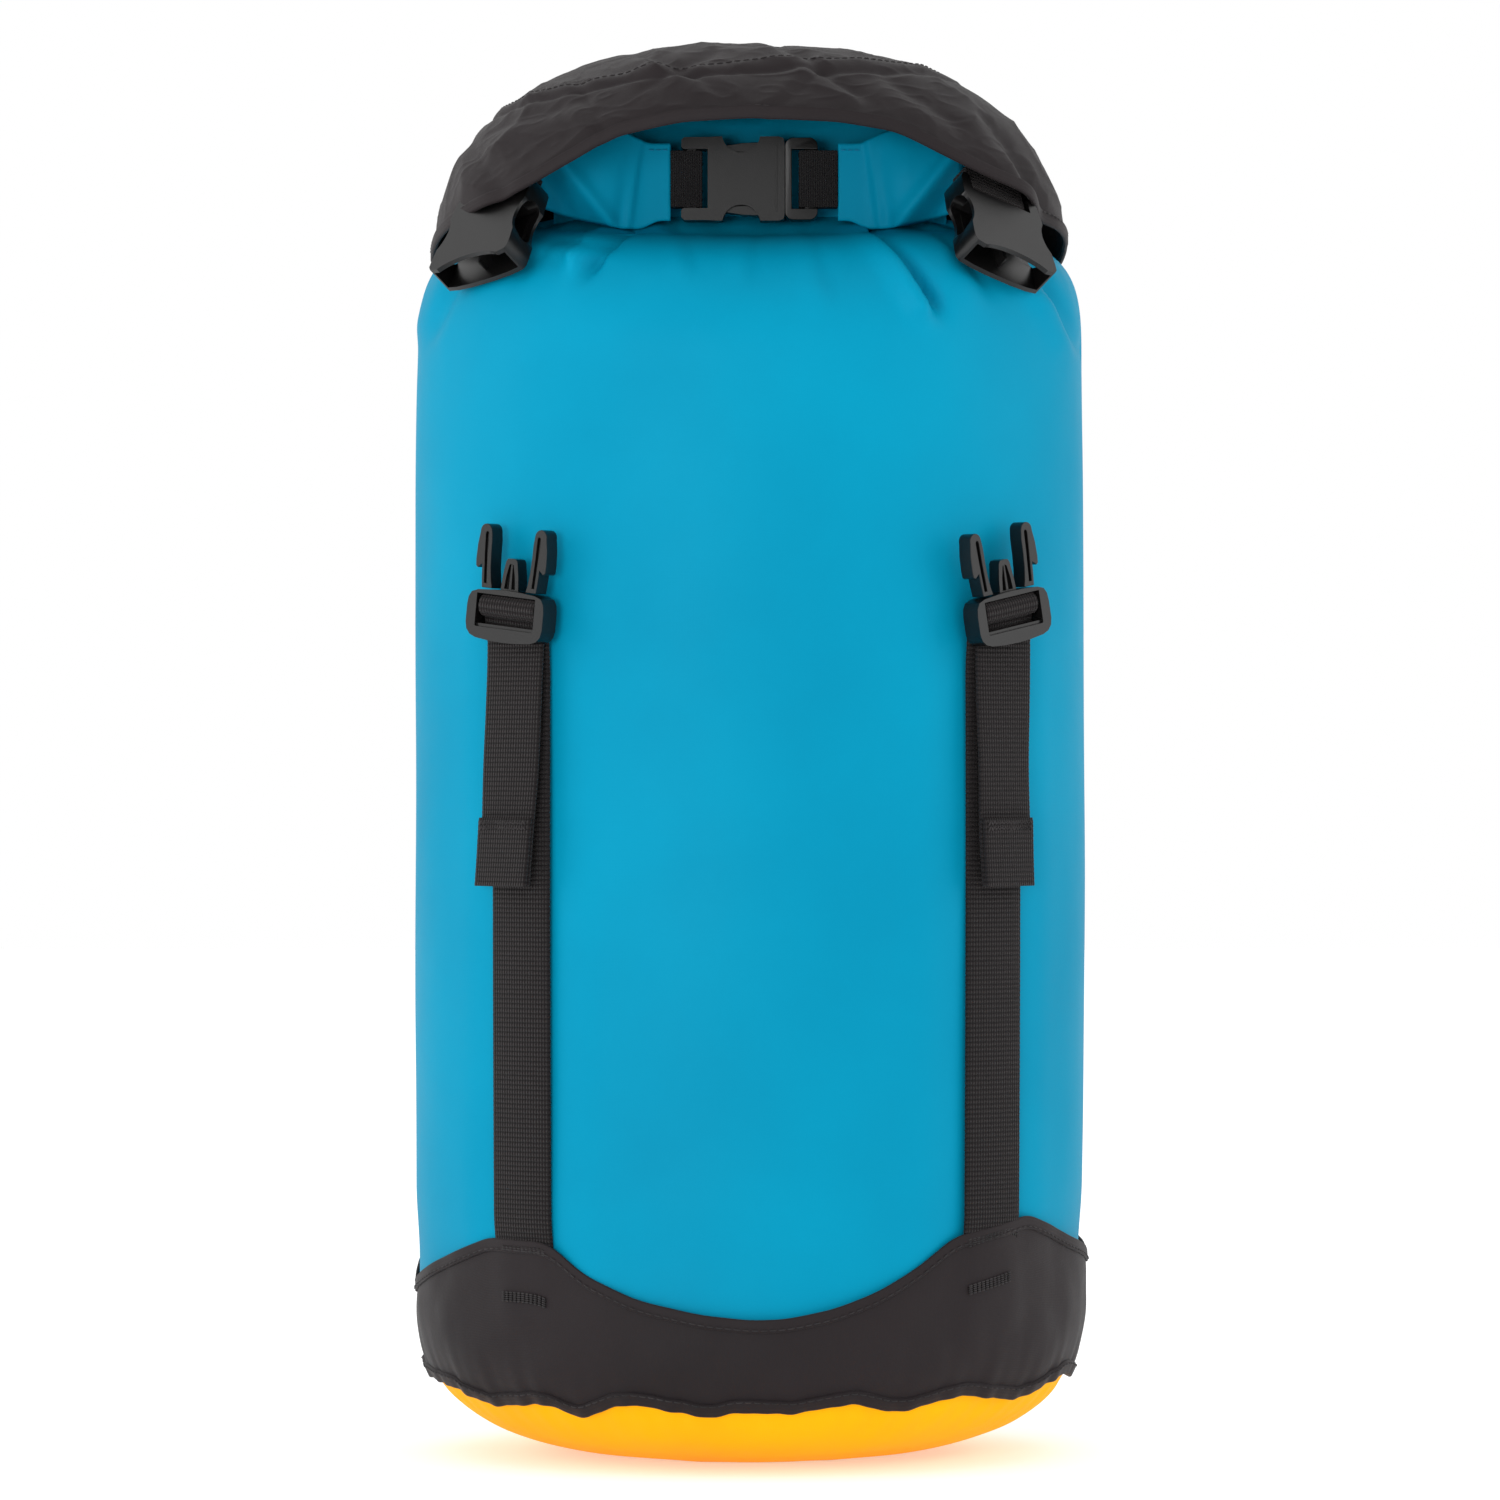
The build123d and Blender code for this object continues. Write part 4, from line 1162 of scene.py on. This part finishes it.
def make_tab(side):
    """A roll end folded forward to the buckle: two layers of cloth with a stitched, folded end."""
    sign = -1 if side == "left" else 1
    low, high = box_mm(f"roll_tab_{side}")
    inner = high[0] if side == "left" else low[0]
    outer = low[0] if side == "left" else high[0]
    front = low[1]
    bend = 7.5
    reach = abs(outer - inner)
    spine = []
    for x in np.linspace(0, reach - bend, 46):
        spine.append((inner + sign * x, front, 0.0))
    for turn in np.linspace(6, 180, 18):
        angle = math.radians(turn)
        spine.append((outer - sign * bend * (1 - math.sin(angle)), front + bend * (1 - math.cos(angle)), 1))
    for x in np.linspace(2, 9, 5):
        spine.append((outer - sign * (bend + x), front + 2 * bend, 1))
    lengths = np.cumsum([0.0] + [math.dist(a[:2], b[:2]) for a, b in zip(spine, spine[1:])])
    heights = np.linspace(0, 1, 31)
    bottom, top = low[2], high[2]
    faces = []
    for height in heights:
        row = []
        for (x, y, bent), length in zip(spine, lengths):
            flare = 3.0 * smooth_step(length, 3, 12) - 9.0 * smooth_step(length, 14, 60)
            z = bottom - 1.2 - flare + (top - bottom + 1.2 + flare + 5 * smooth_step(length, 6, 20)) * height
            puff = 5.5 * math.sin(math.pi * height) ** 0.7 * smooth_step(length, 8, 26) * (1 - 0.5 * bent)
            edge = 9.5 + 4.5 * (1 - height)
            fold = 1.6 * smooth_step(length, edge - 0.8, edge + 0.8) - 0.5
            fold -= 1.6 * math.exp(-((length - edge - 4) / 2.2) ** 2) * (1 - height)
            wave = 1.8 * ripple(x * 0.5, z * 0.4, 3 if side == "left" else 9, 15)
            slope = (z - bottom) * 0.9 - (length - edge)
            wave += 3.4 * math.exp(-((slope + 10) / 4.0) ** 2) - 3.2 * math.exp(-((slope + 20) / 5.0) ** 2)
            wave += 3.0 * math.exp(-((slope + 31) / 6.0) ** 2)
            out = 1.6 + puff + fold + wave * smooth_step(length, 10, 16)
            row.append((x, y + 1.8 - out * (1 - 0.75 * bent), z))
        faces.append(row)
    grid = np.array(faces)
    cloth = np.array([[(length, 26 * height) for length in lengths] for height in heights])
    if side == "left":
        grid, cloth = grid[:, ::-1], cloth[:, ::-1]
    tab = grid_piece(f"tab_cloth_{side}", grid, cloth, BLUE)
    thicken(tab, 3.0)
    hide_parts(f"roll_tab_{side}")
    path = [Vector((inner + sign * (1.0 + 7.5 * k / 20), front + 0.1, top - 2.4)) for k in range(21)]
    stitches = stitch_row(f"tab_stitches_{side}", path, [Vector((0, -1, 0))] * 21, 1.6, 0.8, 0.2,
                          closed=False)
    stitches.data.materials[0] = BLUE_THREAD
    attach([stitches], "top" if side == "left" else "closure_plug")
    if side == "left":
        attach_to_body(tab, "top")
    else:
        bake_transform(tab)


# ---- light, floor and camera ----


EYE_HEIGHT = 0.25  # metres
CAMERA_DISTANCE = 2.4
WIDTH_SEEN = 0.5355  # width of the picture at the sack's middle
SENSOR = 36.0
FLOOR_REACH = 6.0
LIGHTS = {  # place, size and watts
    "front_light": ((-0.9, -2.4, 0.3), (1.0, 0.9), 24),
    "left_light": ((-1.7, -0.2, 0.6), (1.0, 1.4), 7),
    "right_light": ((1.7, -0.2, 0.6), (1.0, 1.4), 7),
}


def area_light(name, place, size, power):
    """A soft rectangular light that faces the middle of the sack."""
    light = bpy.data.lights.new(name, "AREA")
    light.shape = "RECTANGLE"
    light.size, light.size_y = size
    light.energy = power
    made = bpy.data.objects.new(name, light)
    made.location = place
    made.rotation_euler = (Vector((0, 0, EYE_HEIGHT)) - Vector(place)).to_track_quat("-Z", "Y").to_euler()
    bpy.context.scene.collection.objects.link(made)
    return made


def make_studio():
    """A white floor and background, soft lights in front and at both sides, and the camera."""
    floor_mesh = bpy.data.meshes.new("floor")
    corners = [(x * FLOOR_REACH, y * FLOOR_REACH, 0) for x, y in ((-1, -1), (1, -1), (1, 1), (-1, 1))]
    floor_mesh.from_pydata(corners, [], [(0, 1, 2, 3)])
    floor = bpy.data.objects.new("floor", floor_mesh)
    bpy.context.scene.collection.objects.link(floor)
    floor_look = Look("floor_white", 0.9, 0.1)
    floor_look.shader.inputs["Base Color"].default_value = (0.85, 0.85, 0.85, 1)
    floor_look.shader.inputs["Emission Color"].default_value = (1, 1, 1, 1)
    floor_look.shader.inputs["Emission Strength"].default_value = 0.35
    floor.data.materials.append(floor_look.material)
    world = bpy.data.worlds.new("studio")
    world.use_nodes = True
    world.node_tree.nodes["Background"].inputs["Color"].default_value = (1, 1, 1, 1)
    world.node_tree.nodes["Background"].inputs["Strength"].default_value = 1.0
    bpy.context.scene.world = world
    for name, (place, size, power) in LIGHTS.items():
        area_light(name, place, size, power)
    camera_data = bpy.data.cameras.new("camera")
    camera_data.sensor_width = SENSOR
    camera_data.lens = SENSOR * CAMERA_DISTANCE / WIDTH_SEEN
    camera = bpy.data.objects.new("camera", camera_data)
    camera.location = (0, -CAMERA_DISTANCE, EYE_HEIGHT)
    camera.rotation_euler = (math.pi / 2, 0, 0)
    bpy.context.scene.collection.objects.link(camera)
    bpy.context.scene.camera = camera
    bpy.context.scene.view_settings.view_transform = "Standard"


make_skin()
make_base()
make_band()
make_lid()
make_roll()
make_closure()
for side in ("left", "right"):
    make_tab(side)
    make_adjuster(side)
    make_clip(side)
    make_ladder(side)
    make_strap("front", side)
    make_strap("rear", side)
    make_tail(side)
    make_tail(side, rear=True)
make_band_bartacks()
make_studio()
